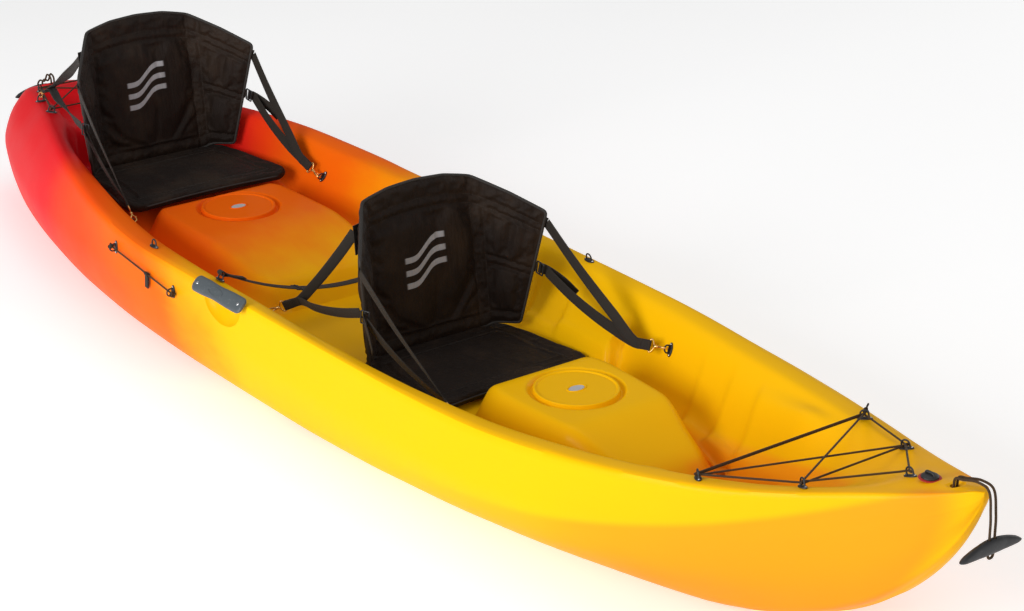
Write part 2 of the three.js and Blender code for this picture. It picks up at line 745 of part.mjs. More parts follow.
carryToggle("stern", -1, STERN_ROPE_X, -HULL_HALF_LENGTH, 292, 266);

// ---- side grips -----------------------------------------------------------

// Padded bar over the finger recess, screwed to the rim at both ends.
function sideGrip(name, side) {
  const half = 100;
  const rings = [];
  const tilt = 42 * DEG;
  const outward = vec(0, side * Math.cos(tilt), Math.sin(tilt));
  const upward = vec(0, -side * Math.sin(tilt), Math.cos(tilt));
  const along = [-half, -half + 8, -half + 26, -34, 0, 34, half - 26, half - 8, half];
  along.forEach((s) => {
    const end = Math.abs(s) > half - 1 ? 0.72 : 1;
    const width = 21 * end;
    const rise = 7.5 * ease(0, 1, (half - Math.abs(s)) / half);
    const x = GRIP_X + s;
    const centre = vec(x, side * curve(RIM_Y, x), curve(RIM_Z, x)).addScaledVector(
      outward, 1.5 + rise,
    );
    centre.addScaledVector(upward, -7);
    const corners = [
      [-1, 0], [-0.86, 4.6], [-0.4, 6.6], [0.4, 6.6], [0.86, 4.6], [1, 0], [0.8, -1.6],
      [-0.8, -1.6],
    ];
    rings.push(
      corners.map(([u, n]) =>
        centre.clone().addScaledVector(upward, u * width).addScaledVector(outward, n * end + 2.4),
      ),
    );
  });
  const made = loft(rings);
  let out = 0;
  let placed;
  do {
    out += 0.5;
    placed = made.translate(outward.clone().multiplyScalar(out).toArray());
  } while (placed.intersect(hull).volume() > 0 && out < 30);
  const final = outward.clone().multiplyScalar(out + 0.35).toArray();
  addPiece(name, made.translate(final), FINISH.grey);
}
sideGrip("side_grip_port", 1);
sideGrip("side_grip_starboard", -1);

// ---- paddle keeper on the starboard side -----------------------------------

// Half-breadth of the hull side at x and height z.
function sideY(x, z) {
  const half = outerHalf(x).slice(3);
  for (let i = 0; i + 1 < half.length; i += 1) {
    const [y0, z0] = half[i];
    const [y1, z1] = half[i + 1];
    if (z >= z0 && z <= z1) return mix(y0, y1, (z - z0) / (z1 - z0));
  }
  return half[half.length - 1][0];
}

// Pad eye on the starboard hull side, its hole facing along the hull.
function sideEye(name, x, z) {
  const origin = vec(x, -sideY(x, z), z);
  const rise = (sideY(x, z + 10) - sideY(x, z - 10)) / 20;
  const sweep = (sideY(x + 20, z) - sideY(x - 20, z)) / 40;
  const outward = vec(-sweep, -1, -rise).normalize();
  const placed = standClear(padEye, fittingFrame(origin, vec(0, 0, 1), outward));
  eyes[name] = placed.frame;
  addPiece(name, placed.made, FINISH.black);
}
sideEye("keeper_eye_aft", -642, 246);
sideEye("keeper_eye_fwd", -352, 224);

// Stretch cord through both eyes with a knot outside each.
const keeperAft = eyeHole("keeper_eye_aft");
const keeperFwd = eyeHole("keeper_eye_fwd");
const keeperWay = keeperFwd.clone().sub(keeperAft).normalize();
{
  const past = EYE_ROD + 9.5;
  const aft = keeperAft.clone().addScaledVector(keeperWay, -past);
  const fwd = keeperFwd.clone().addScaledVector(keeperWay, past);
  const cord = rod(aft, fwd, BUNGEE_RADIUS, 8).add(ball(aft, 8.4)).add(ball(fwd, 8.4));
  addPiece("keeper_cord", cord, FINISH.cord);
}

// Webbing tab that hangs on the cord, its loop free to turn round it.
{
  const width = 15;
  const outline = new THREE.Shape();
  const outer = 4.8;
  outline.moveTo(-1.6, -36);
  outline.lineTo(1.6, -36);
  outline.lineTo(1.8, -outer);
  for (let i = 1; i <= 9; i += 1) {
    const a = (-68 + i * 31.6) * DEG;
    outline.lineTo(outer * Math.cos(a), outer * Math.sin(a));
  }
  outline.lineTo(-1.8, -outer);
  const hole = new THREE.Path();
  for (let i = 0; i <= 10; i += 1) {
    const a = (-i / 10) * 2 * Math.PI;
    const x = 3.2 * Math.cos(a);
    const y = 3.2 * Math.sin(a);
    if (i === 0) hole.moveTo(x, y);
    else hole.lineTo(x, y);
  }
  outline.holes.push(hole);
  const loop = new THREE.ExtrudeGeometry(outline, { depth: width, bevelEnabled: false });
  loop.translate(0, 0, -width / 2);
  const across = vec(0, 1, 0);
  const up = keeperWay.clone().cross(across).normalize();
  const side = up.clone().cross(keeperWay).normalize();
  const middle = keeperAft.clone().lerp(keeperFwd, 0.6);
  const frame = new THREE.Matrix4().makeBasis(side, up, keeperWay).setPosition(middle);
  addPiece("keeper_tab", moved(solid(loop), frame), FINISH.webbing);
}

// ---- seats -----------------------------------------------------------------

// Columns of the back from the centre out: [x, y, z] of the foot and of the top.
const BACK_COLUMNS = [
  [[-6, 0, 3], [-66, 0, 380]],
  [[-4, 82, 3], [-63, 80, 376]],
  [[2, 158, 3], [-56, 154, 360]],
  [[30, 192, 5], [24, 212, 328]],
  [[62, 220, 7], [98, 266, 290]],
];
const BACK_LEVELS = [
  [0, 0.3], [0.05, 1], [0.5, 1], [0.94, 1], [1, 0.3],
];

// Point on the middle surface of a seat back; column may be fractional.
function backPoint(column, level, side) {
  const i = Math.min(Math.floor(column), BACK_COLUMNS.length - 2);
  const t = column - i;
  const pick = (k) => {
    const foot = mix(BACK_COLUMNS[i][0][k], BACK_COLUMNS[i + 1][0][k], t);
    const top = mix(BACK_COLUMNS[i][1][k], BACK_COLUMNS[i + 1][1][k], t);
    return mix(foot, top, level);
  };
  return vec(pick(0), side * pick(1), pick(2));
}

function seatBack(name, x0, z0) {
  const rings = [];
  for (let c = -4; c <= 4; c += 1) {
    const side = Math.sign(c) || 1;
    const column = Math.abs(c);
    const before = backPoint(Math.max(0, column - 0.5), 0.6, side);
    const after = backPoint(Math.min(4, column + 0.5), 0.6, side);
    const along = after.clone().sub(before);
    const facing = vec(Math.abs(along.y), -Math.sign(along.y) * along.x, 0);
    if (column === 0) facing.set(1, 0, 0);
    facing.normalize();
    facing.z = column < 3 ? 0.16 : 0.06;
    facing.normalize();
    const edge = column === 4 ? 0.45 : 1;
    const front = BACK_LEVELS.map(([h, k]) =>
      backPoint(column, h, side).addScaledVector(facing, (k * edge * SEAT_THICK) / 2),
    );
    const rear = BACK_LEVELS.map(([h, k]) =>
      backPoint(column, h, side).addScaledVector(facing, (-k * edge * SEAT_THICK) / 2),
    ).reverse();
    rings.push(front.concat(rear).map((p) => p.add(vec(x0, 0, z0))));
  }
  addPiece(name, loft(rings), FINISH.nylon);
}

// Seat pad: a rounded, edged cushion.
function seatPad(name, x0, z0) {
  const bevel = 9;
  const outline = new THREE.Shape();
  const w = 226 - bevel;
  const rear = -4 + bevel;
  const front = 312 - bevel;
  outline.moveTo(rear, -w + 62);
  outline.quadraticCurveTo(rear, -w + 26, rear + 36, -w + 18);
  outline.quadraticCurveTo(rear + 90, -w, rear + 140, -w);
  outline.lineTo(front - 105, -w);
  outline.quadraticCurveTo(front - 6, -w + 2, front, -w + 96);
  outline.quadraticCurveTo(front + 8, 0, front, w - 96);
  outline.quadraticCurveTo(front - 6, w - 2, front - 105, w);
  outline.lineTo(rear + 140, w);
  outline.quadraticCurveTo(rear + 90, w, rear + 36, w - 18);
  outline.quadraticCurveTo(rear, w - 26, rear, w - 62);
  const options = {
    depth: PAD_THICK - 2 * bevel, curveSegments: 4, steps: 1,
    bevelEnabled: true, bevelThickness: bevel, bevelSize: bevel, bevelSegments: 2,
  };
  const geometry = new THREE.ExtrudeGeometry(outline, options);
  geometry.translate(x0, 0, z0 - PAD_THICK + bevel);
  addPiece(name, solid(geometry), FINISH.nylon);
}

// Swivel snap hook closed round the rod of a pad eye and pulled toward `target`.
function snapHook(name, eyeName, target) {
  const rodCentre = eyeRod(eyeName);
  const u = vec(1, 0, 0).transformDirection(eyes[eyeName]);
  const pull = target.clone().sub(rodCentre);
  const e1 = pull.addScaledVector(u, -pull.dot(u)).normalize();
  const e2 = u.clone().cross(e1);
  const at = (p, q, r = 0) =>
    rodCentre.clone().addScaledVector(e1, p).addScaledVector(e2, q).addScaledVector(u, r);
  const wire = (points, normals, radius) =>
    loft(
      points.map((p, i) => {
        const next = points[(i + 1) % points.length];
        const last = points[(i + points.length - 1) % points.length];
        const way = next.clone().sub(last).normalize();
        const side = way.clone().cross(normals).normalize();
        return [0, 1, 2, 3, 4, 5].map((k) => {
          const a = (k / 6) * 2 * Math.PI;
          return p
            .clone()
            .addScaledVector(side, radius * Math.cos(a))
            .addScaledVector(normals, radius * Math.sin(a));
        });
      }),
      true,
    );
  const R = HOOK_RADIUS;
  const eyeLoop = [
    [0, R], [-4.4, 4.4], [-R, 0], [-4.4, -4.4], [0, -R], [8, -R + 0.4], [14, -3.4],
    [16, 0], [14, 3.4], [8, R - 0.4],
  ].map(([p, q]) => at(p, q));
  const bail = [
    [28, -6], [28, 6], [33, 15], [39, 15], [39, -15], [33, -15],
  ].map(([p, r]) => at(p, 0, r));
  const made = wire(eyeLoop, u, HOOK_WIRE)
    .add(rod(at(15.2, 0), at(28.6, 0), 3.9, 8))
    .add(wire(bail, e2, 1.7));
  addPiece(name, made, FINISH.brass);
  return { start: at(39 + 1.7 + 0.8, 0), way: e1, across: u };
}

// Flat webbing through points; the width turns from one direction to another.
function webbing(points, acrossStart, acrossEnd, offset, width = WEB_WIDTH) {
  const rings = points.map((p, i) => {
    const next = points[Math.min(i + 1, points.length - 1)];
    const last = points[Math.max(i - 1, 0)];
    const way = next.clone().sub(last).normalize();
    const t = i / (points.length - 1);
    const wide = acrossStart.clone().lerp(acrossEnd, t);
    wide.addScaledVector(way, -wide.dot(way)).normalize();
    const normal = way.clone().cross(wide);
    const centre = p.clone().addScaledVector(normal, offset);
    return [[1, 1], [-1, 1], [-1, -1], [1, -1]].map(([a, b]) =>
      centre
        .clone()
        .addScaledVector(wide, (a * width) / 2)
        .addScaledVector(normal, (b * WEB_THICK) / 2),
    );
  });
  return loft(rings);
}

// Points from a start along its direction, then on to an end with a slight droop.
function strapRoute(start, way, end, droop) {
  const sewn = start.clone().addScaledVector(way, 34);
  const route = [start, start.clone().addScaledVector(way, 17), sewn];
  [0.25, 0.5, 0.75].forEach((t) => {
    const p = sewn.clone().lerp(end, t);
    p.z -= droop * 4 * t * (1 - t);
    route.push(p);
  });
  route.push(end);
  return route;
}

// Two straps sewn face to face at a hook, each going on to [end, across, droop].
function sewnPair(hook, first, second) {
  const normal = hook.way.clone().cross(hook.across);
  const over = Math.sign(first[0].clone().sub(second[0]).dot(normal)) || 1;
  const made = [[first, over], [second, -over]].map(([[end, across, droop], layer]) => {
    const wide = across.clone();
    if (wide.dot(hook.across) < 0) wide.negate();
    const route = strapRoute(hook.start, hook.way, end, droop);
    return webbing(route, hook.across, wide, layer * (WEB_THICK / 2 - 0.35));
  });
  return outerSkin(made[0].add(made[1]).simplify(0.12));
}

// Ladder-lock buckle on the edge of the back: a frame with two slots.
function ladderLock(name, centre, along, outward) {
  const frame = fittingFrame(centre, along, outward);
  const box = (x, y, z, u, v) => {
    const geometry = new THREE.BoxGeometry(x, y, z);
    geometry.translate(u, v, 0);
    return solid(geometry);
  };
  const body = box(34, 26, 4.5, 0, 0)
    .subtract(box(27, 6, 9, 0, 6))
    .subtract(box(27, 6, 9, 0, -6));
  addPiece(name, moved(body, frame), FINISH.black);
}

// One whole seat: back, pad, and on each side two snap hooks and two sewn straps.
function seat(prefix, x0, z0, frontEye, rearEye) {
  const base = vec(x0, 0, z0);
  seatBack(prefix + "_back", x0, z0);
  seatPad(prefix + "_pad", x0, z0);
  const straps = {};
  [["starboard", -1], ["port", 1]].forEach(([word, side]) => {
    const tag = prefix + "_" + word;
    // The port straps are the mirror image of the starboard ones.
    const strap = (end, build) => {
      straps[end] = side < 0 ? build() : straps[end].mirror([0, 1, 0]);
      addPiece(tag + "_strap_" + end, straps[end], FINISH.webbing);
    };
    const upper = backPoint(4, 0.9, side).add(base).add(vec(2, side * 7, 0));
    const lock = backPoint(4, 0.5, side).add(base).add(vec(14, side * 9, 0));
    const edge = backPoint(4, 1, side).sub(backPoint(4, 0, side)).normalize();
    deckEye(tag + "_eye_front", frontEye[0], side * frontEye[1], side * 90 * DEG);
    deckEye(tag + "_eye_rear", rearEye[0], side * rearEye[1], side * rearEye[2] * DEG);
    const front = snapHook(tag + "_hook_front", tag + "_eye_front", upper);
    const lockWay = vec(0.92, side * 0.3, -0.2).normalize();
    ladderLock(tag + "_buckle", lock, edge, vec(-side * 0.25, 0, 0).add(vec(0.2, side, 0)));
    const lowerEnd = lock.clone().addScaledVector(lockWay, 20);
    strap("front", () => sewnPair(front, [upper, edge, 6], [lowerEnd, edge, 14]));
    const rearTop = backPoint(2.3, 0.84, side).add(base).add(vec(-23, side * 10, 0));
    const rear = snapHook(tag + "_hook_rear", tag + "_eye_rear", rearTop);
    const rearEnd = lock.clone().addScaledVector(lockWay, -21);
    rearEnd.y += side * 5;
    strap("rear", () => sewnPair(rear, [rearTop, vec(0, 0, 1), 8], [rearEnd, edge, 10]));
  });
}
seat("front_seat", 104, 150, [604, 314], [-92, 344, 90]);
seat("rear_seat", -1192, 246, [-806, 300], [-1604, 124, 90]);

// ---- strap across the middle ------------------------------------------------

{
  const ends = ["mid_eye_starboard", "mid_eye_port"].map((name) => eyeHole(name));
  const reach = ends[1].y - 14;
  const steps = 12;
  const route = [];
  for (let i = 0; i <= steps; i += 1) {
    const y = mix(-reach, reach, i / steps);
    const sag = 104 * (1 - (y / reach) ** 2);
    route.push(vec(ends[0].x, y, ends[0].z + 1 - sag));
  }
  const across = vec(1, 0, 0);
  addPiece("mid_strap", webbing(route, across, across, 0), FINISH.webbing);
}

export default group;
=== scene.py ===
"""Tandem sit-on-top kayak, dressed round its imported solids.

Lengths in the hull tables are millimetres, as the boat is drawn; every mesh is made in
metres. +X points to the bow, +Y to port and +Z up.
"""
import logging
import math
from dataclasses import dataclass, field
from enum import Enum
from typing import Iterable, Sequence

import bmesh
import bpy
import numpy as np
from mathutils import Matrix, Vector


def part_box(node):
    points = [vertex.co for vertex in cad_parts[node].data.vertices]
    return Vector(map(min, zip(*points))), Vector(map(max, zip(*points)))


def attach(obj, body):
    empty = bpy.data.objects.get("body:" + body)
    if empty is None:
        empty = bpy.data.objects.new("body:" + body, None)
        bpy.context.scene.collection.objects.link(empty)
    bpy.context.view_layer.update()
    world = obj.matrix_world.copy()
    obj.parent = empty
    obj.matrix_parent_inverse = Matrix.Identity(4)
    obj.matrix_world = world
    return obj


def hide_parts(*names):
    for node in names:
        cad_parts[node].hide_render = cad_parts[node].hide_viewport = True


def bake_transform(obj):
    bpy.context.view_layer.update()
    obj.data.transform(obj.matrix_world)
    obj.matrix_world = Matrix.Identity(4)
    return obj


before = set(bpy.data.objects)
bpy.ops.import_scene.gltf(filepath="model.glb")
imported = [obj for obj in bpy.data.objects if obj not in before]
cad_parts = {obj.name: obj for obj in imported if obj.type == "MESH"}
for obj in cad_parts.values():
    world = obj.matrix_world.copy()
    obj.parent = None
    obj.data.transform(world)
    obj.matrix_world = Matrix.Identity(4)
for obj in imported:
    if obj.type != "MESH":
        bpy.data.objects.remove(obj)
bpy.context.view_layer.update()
MM = 0.001
LOG = logging.getLogger("kayak")
Point = tuple[float, float, float]
Rows = tuple[tuple[float, float], ...]


class Side(Enum):
    """The two sides of the boat, by the sign of y."""

    PORT = 1
    STARBOARD = -1

    @property
    def word(self) -> str:
        """Name of the side as the CAD nodes write it."""
        return self.name.lower()


class Slot(Enum):
    """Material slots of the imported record."""

    HULL = "hull_shell"
    CLOTH = "seat_cloth"
    WEBBING = "webbing"
    CORD = "cord"
    BLACK = "black_fitting"
    GRIP = "grip_plastic"
    BRASS = "brass"


# ---------------------------------------------------------------- shader writing


class Signal:
    """A number that varies over a surface, written with ordinary operators."""

    def __init__(self, board: "Board", socket: bpy.types.NodeSocket) -> None:
        """Wraps one output socket of a board."""
        self.board = board
        self.socket = socket

    def _math(self, operation: str, *terms: "Signal | float") -> "Signal":
        """Adds one Math node.

        Args:
            operation: Name of the Math operation.
            terms: Its values in order.

        Returns:
            The node's value.
        """
        made = self.board.node(
            "ShaderNodeMath", {"operation": operation}, dict(enumerate(terms))
        )
        return Signal(self.board, made.outputs[0])

    def __add__(self, other: "Signal | float") -> "Signal":
        """Sum."""
        return self._math("ADD", self, other)

    def __radd__(self, other: float) -> "Signal":
        """Sum with a plain number first."""
        return self._math("ADD", other, self)

    def __sub__(self, other: "Signal | float") -> "Signal":
        """Difference."""
        return self._math("SUBTRACT", self, other)

    def __rsub__(self, other: float) -> "Signal":
        """Difference from a plain number."""
        return self._math("SUBTRACT", other, self)

    def __mul__(self, other: "Signal | float") -> "Signal":
        """Product."""
        return self._math("MULTIPLY", self, other)

    def __rmul__(self, other: float) -> "Signal":
        """Product with a plain number first."""
        return self._math("MULTIPLY", other, self)

    def __abs__(self) -> "Signal":
        """Size without its sign."""
        return self._math("ABSOLUTE", self)

    def sine(self) -> "Signal":
        """Sine of the value in radians."""
        return self._math("SINE", self)

    def most(self, other: "Signal | float") -> "Signal":
        """The larger of two values."""
        return self._math("MAXIMUM", self, other)

    def least(self, other: "Signal | float") -> "Signal":
        """The smaller of two values."""
        return self._math("MINIMUM", self, other)

    def step(self, low: float, high: float) -> "Signal":
        """Smooth rise from 0 at low to 1 at high; low may be the larger.

        Args:
            low: Value where the step starts.
            high: Value where it ends.

        Returns:
            A signal from 0 to 1.
        """
        if low > high:
            return 1.0 - self.step(high, low)
        made = self.board.node(
            "ShaderNodeMapRange",
            {"interpolation_type": "SMOOTHSTEP"},
            {"Value": self, "From Min": low, "From Max": high},
        )
        return Signal(self.board, made.outputs[0])


class Board:
    """The node tree of one material."""

    def __init__(self, name: str) -> None:
        """Makes an empty material with an output."""
        self.material = bpy.data.materials.new(name)
        self.material.use_nodes = True
        self.tree = self.material.node_tree
        self.tree.nodes.clear()
        self.output = self.tree.nodes.new("ShaderNodeOutputMaterial")

    def node(
        self, kind: str, settings: dict | None = None, inputs: dict | None = None
    ) -> bpy.types.Node:
        """Adds a node.

        Args:
            kind: The node's type.
            settings: Properties that are set first.
            inputs: Values, signals or sockets by input name or number.

        Returns:
            The node.
        """
        made = self.tree.nodes.new(kind)
        for key, value in (settings or {}).items():
            setattr(made, key, value)
        for key, value in (inputs or {}).items():
            socket = made.inputs[key]
            if isinstance(value, Signal):
                self.tree.links.new(value.socket, socket)
            elif isinstance(value, bpy.types.NodeSocket):
                self.tree.links.new(value, socket)
            elif isinstance(value, tuple) and len(value) == 3 and socket.type == "RGBA":
                socket.default_value = (*value, 1.0)
            else:
                socket.default_value = value
        return made

    def place(self) -> bpy.types.NodeSocket:
        """Position on the piece, in metres."""
        return self.node("ShaderNodeTexCoord").outputs["Object"]

    def chart(self) -> bpy.types.NodeSocket:
        """The piece's own UV chart, in metres."""
        return self.node("ShaderNodeUVMap", {"uv_map": "UVMap"}).outputs["UV"]

    def split(self, vector: bpy.types.NodeSocket) -> tuple[Signal, Signal, Signal]:
        """The three parts of a vector."""
        made = self.node("ShaderNodeSeparateXYZ", None, {"Vector": vector})
        return tuple(Signal(self, out) for out in made.outputs)

    def stretched(self, vector: bpy.types.NodeSocket, scale: Point) -> bpy.types.NodeSocket:
        """The vector scaled on each axis."""
        made = self.node("ShaderNodeMapping", None, {"Vector": vector, "Scale": scale})
        return made.outputs[0]

    def noise(
        self, vector: bpy.types.NodeSocket, scale: float, detail: float = 3.0,
        rough: float = 0.55,
    ) -> Signal:
        """Cloudy noise from 0 to 1.

        Args:
            vector: Where it is read.
            scale: Features per metre.
            detail: Octaves.
            rough: Share of the finer octaves.

        Returns:
            The noise.
        """
        made = self.node(
            "ShaderNodeTexNoise", None,
            {"Vector": vector, "Scale": scale, "Detail": detail, "Roughness": rough},
        )
        return Signal(self, made.outputs[0])

    def mix(
        self, factor: "Signal | float", first: "Point | bpy.types.NodeSocket",
        second: "Point | bpy.types.NodeSocket",
    ) -> bpy.types.NodeSocket:
        """Mixes two colours.

        Args:
            factor: Share of the second.
            first: Colour or socket.
            second: Colour or socket.

        Returns:
            The mixed colour.
        """
        made = self.node(
            "ShaderNodeMix", {"data_type": "RGBA"}, {0: factor, 6: first, 7: second}
        )
        return made.outputs[2]

    def bump(
        self, height: Signal, distance: float, strength: float = 1.0,
        under: bpy.types.NodeSocket | None = None,
    ) -> bpy.types.NodeSocket:
        """Normal from a height in units of `distance` metres."""
        inputs = {"Height": height, "Distance": distance, "Strength": strength}
        if under is not None:
            inputs["Normal"] = under
        return self.node("ShaderNodeBump", None, inputs).outputs[0]

    def finish(self, **sockets: object) -> bpy.types.Material:
        """Adds the Principled shader and the output.

        Args:
            sockets: Its values or links, with underscores for spaces.

        Returns:
            The material.
        """
        inputs = {key.replace("_", " "): value for key, value in sockets.items()}
        shader = self.node("ShaderNodeBsdfPrincipled", None, inputs)
        self.tree.links.new(shader.outputs[0], self.output.inputs[0])
        return self.material


# ---------------------------------------------------------------- finishes


@dataclass(frozen=True)
class HullPlastic:
    """Moulded polyethylene, blended from red at the stern to yellow at the bow."""

    red: Point = (0.78, 0.006, 0.012)
    ember: Point = (0.86, 0.050, 0.006)
    orange: Point = (0.86, 0.130, 0.003)
    yellow: Point = (0.92, 0.490, 0.002)
    gold: Point = (0.92, 0.270, 0.012)
    # Darker red painted in as shade in the deep wells and crevices.
    shade: Point = (0.62, 0.045, 0.002)

    def make(self) -> bpy.types.Material:
        """Builds the material.

        Returns:
            Satin plastic with soft colour clouds, painted shade in the wells, crevices and below the
            bow knuckle, fine peel and light scuffs.
        """
        board = Board("moulded_plastic")
        place = board.place()
        x, y, z = board.split(place)
        cloud = board.noise(place, 2.3, 3.0, 0.5) - 0.5
        wisp = board.noise(board.stretched(place, (1.0, 2.4, 2.4)), 6.5, 4.0, 0.6) - 0.5
        deep = z.step(0.30, 0.12)
        deck = abs(y).step(0.41, 0.31) * z.step(0.05, 0.12)
        aft = deck * x.step(-0.92, -1.16)
        along = x + cloud * 0.34 + wisp * 0.12 + y * 0.20 - deep * 0.06 + deck * 0.10
        along = along - aft * 0.34
        colour = board.mix(along.step(-1.52, -1.02), self.red, self.ember)
        colour = board.mix(along.step(-1.12, -0.66), colour, self.orange)
        colour = board.mix(along.step(-0.62, -0.20), colour, self.yellow)
        belly = z.step(0.17, 0.02) * abs(y).step(0.10, 0.25)
        bow = (x + z * -0.9 + cloud * 0.5).step(0.78, 1.36)
        keel = z.step(0.30, 0.04) * (x + cloud * 0.3).step(0.75, 1.5)
        # Painted shade: below the bow knuckle the lower face is coloured gold, standing for the
        # shade it turns into.
        fore = x.most(0.5) - 0.5
        knuckle = fore * fore * 0.215 + 0.105
        under = (z - knuckle).step(0.008, -0.014) * abs(y).step(0.02, 0.06)
        lower = under * (x + cloud * 0.2).step(0.45, 1.25)
        # Gold tone low on the bow, keel and belly, plus painted shade below the knuckle.
        gold_tone_and_knuckle_shade = (bow * 0.20 + keel * 0.12 + belly * 0.14 + lower * 0.60).least(0.94)
        colour = board.mix(gold_tone_and_knuckle_shade, colour, self.gold)
        # Painted shade: patches of the darker shade colour in the deep wells, and a band in the
        # crevices along the front footwell.
        shade_patches = board.noise(place, 1.15, 2.0, 0.5).step(0.56, 0.72)
        pocket = x.step(0.95, 0.20) * x.step(-0.8, -0.2) * z.step(0.20, 0.13)
        inside = abs(y).step(0.40, 0.30) * pocket * shade_patches
        narrow = abs(y) + (x.most(0.5) - 0.5) * 0.16
        crevice = z.step(0.168, 0.128) * narrow.step(0.28, 0.22) * x.step(0.38, 0.62)
        crevice = crevice * z.step(0.03, 0.07) * x.step(1.3, 1.1) * 0.44
        colour = board.mix((inside * 0.75).most(crevice), colour, self.shade)
        speck = board.noise(place, 900.0, 2.0, 0.6)
        colour = board.mix(speck.step(0.60, 0.80) * 0.03, colour, (0.95, 0.62, 0.10))
        scuff = board.noise(board.stretched(place, (4.0, 60.0, 60.0)), 3.0, 5.0, 0.7)
        worn = scuff.step(0.60, 0.74) * z.step(0.16, 0.02)
        colour = board.mix(worn * 0.06, colour, (0.95, 0.74, 0.34))
        patch = board.noise(place, 14.0, 4.0, 0.6)
        rough = 0.35 + patch * 0.12 + worn * 0.12
        peel = board.noise(place, 420.0, 3.0, 0.55)
        wave = board.noise(place, 11.0, 2.0, 0.45)
        ground = board.bump(wave, 0.0016, 0.55)
        return board.finish(
            Base_Color=colour, Roughness=rough, Normal=board.bump(peel, 0.00016, 0.5, ground),
            IOR=1.49, Coat_Weight=0.05, Coat_Roughness=0.16,
            Specular_IOR_Level=0.03,
        )


@dataclass(frozen=True)
class SeatNylon:
    """Coated pack cloth, dark brown, sewn over thin foam."""

    cloth: Point = (0.0062, 0.0029, 0.0019)
    faded: Point = (0.042, 0.024, 0.013)
    print_grey: Point = (0.36, 0.36, 0.38)

    def make(self, name: str, mark: bool) -> bpy.types.Material:
        """Builds the material.

        Args:
            name: The material's name.
            mark: Whether it carries the plain three-wave print.

        Returns:
            Woven cloth with soft sheen and creases.
        """
        board = Board(name)
        chart = board.chart()
        place = board.place()
        u, v, _ = board.split(chart)
        weave = (u * 4200.0).sine() * (v * 4200.0).sine()
        crease = board.noise(board.stretched(place, (7.0, 9.0, 2.2)), 3.2, 4.0, 0.62)
        small = board.noise(place, 46.0, 4.0, 0.6)
        fade = board.noise(place, 9.0, 4.0, 0.6).step(0.40, 0.75)
        colour = board.mix(fade * 0.42 + small * 0.10, self.cloth, self.faded)
        colour = board.mix(weave.step(-0.6, 0.9) * 0.16, colour, self.faded)
        if mark:
            slope = v - u * 0.42
            wave = (u * 62.0).sine() * 0.0075
            stripes = None
            for level in (-0.030, 0.0, 0.030):
                edge = abs(slope - wave - level).step(0.0075, 0.0060)
                stripes = edge if stripes is None else stripes.most(edge)
            ends = abs(u).step(0.062, 0.055)
            colour = board.mix(stripes * ends * 0.92, colour, self.print_grey)
        under = board.bump(crease + small * 0.22, 0.0075, 0.85)
        rough = 0.56 + small * 0.16 - fade * 0.05
        return board.finish(
            Base_Color=colour, Roughness=rough,
            Normal=board.bump(weave, 0.00016, 0.55, under),
            Sheen_Weight=0.02, Sheen_Roughness=0.42, Specular_IOR_Level=0.17,
        )


@dataclass(frozen=True)
class WebbingWeave:
    """Flat woven polyester tape."""

    yarn: Point = (0.010, 0.0075, 0.0055)
    lit: Point = (0.048, 0.038, 0.028)

    def make(self) -> bpy.types.Material:
        """Builds the material.

        Returns:
            Black tape with cross ribs and chevron yarns along it.
        """
        board = Board("webbing_weave")
        u, v, _ = board.split(board.chart())
        rib = (v * 2900.0).sine()
        chevron = (v * 2900.0 + abs(u) * 3400.0).sine()
        yarn = (u * 3100.0).sine()
        fuzz = board.noise(board.place(), 260.0, 3.0, 0.6)
        weave = rib * 0.5 + chevron * 0.35 + yarn * 0.25
        colour = board.mix(weave.step(-0.7, 0.9) * 0.40 + fuzz * 0.12, self.yarn, self.lit)
        return board.finish(
            Base_Color=colour, Roughness=0.62 + fuzz * 0.2,
            Normal=board.bump(weave + fuzz * 0.3, 0.00035, 0.8),
            Sheen_Weight=0.06, Sheen_Roughness=0.4, Specular_IOR_Level=0.3,
        )


@dataclass(frozen=True)
class BraidedSheath:
    """Braided sheath of a stretch cord or rope."""

    yarn: Point = (0.026, 0.013, 0.005)
    lit: Point = (0.125, 0.068, 0.028)

    def make(self) -> bpy.types.Material:
        """Builds the material.

        Returns:
            Brown-black braid that spirals both ways round the cord.
        """
        board = Board("braided_sheath")
        u, v, _ = board.split(board.chart())
        left = (v * 2200.0 + u * 50.265).sine()
        right = (v * 2200.0 - u * 50.265).sine()
        braid = left.most(right)
        fuzz = board.noise(board.place(), 340.0, 3.0, 0.6)
        colour = board.mix(braid.step(-0.2, 1.0) * 0.55 + fuzz * 0.15, self.yarn, self.lit)
        return board.finish(
            Base_Color=colour, Roughness=0.55 + fuzz * 0.25,
            Normal=board.bump(braid, 0.00045, 0.9),
            Sheen_Weight=0.03, Specular_IOR_Level=0.25,
        )


@dataclass(frozen=True)
class MouldedNylon:
    """Injection-moulded plastic with a faint grain and rubbed edges."""

    name: str
    base: Point
    worn: Point
    rough: float = 0.42

    def make(self) -> bpy.types.Material:
        """Builds the material.

        Returns:
            Grained plastic with smudges and paler rubbed spots.
        """
        board = Board(self.name)
        place = board.place()
        grain = board.noise(place, 1500.0, 2.0, 0.6)
        smudge = board.noise(place, 60.0, 4.0, 0.6)
        rub = board.noise(place, 170.0, 3.0, 0.6).step(0.56, 0.72)
        colour = board.mix(rub * 0.35 + smudge * 0.12, self.base, self.worn)
        return board.finish(
            Base_Color=colour, Roughness=self.rough + smudge * 0.16 - rub * 0.05,
            Normal=board.bump(grain + smudge * 0.3, 0.00012, 0.7),
            Specular_IOR_Level=0.5,
        )


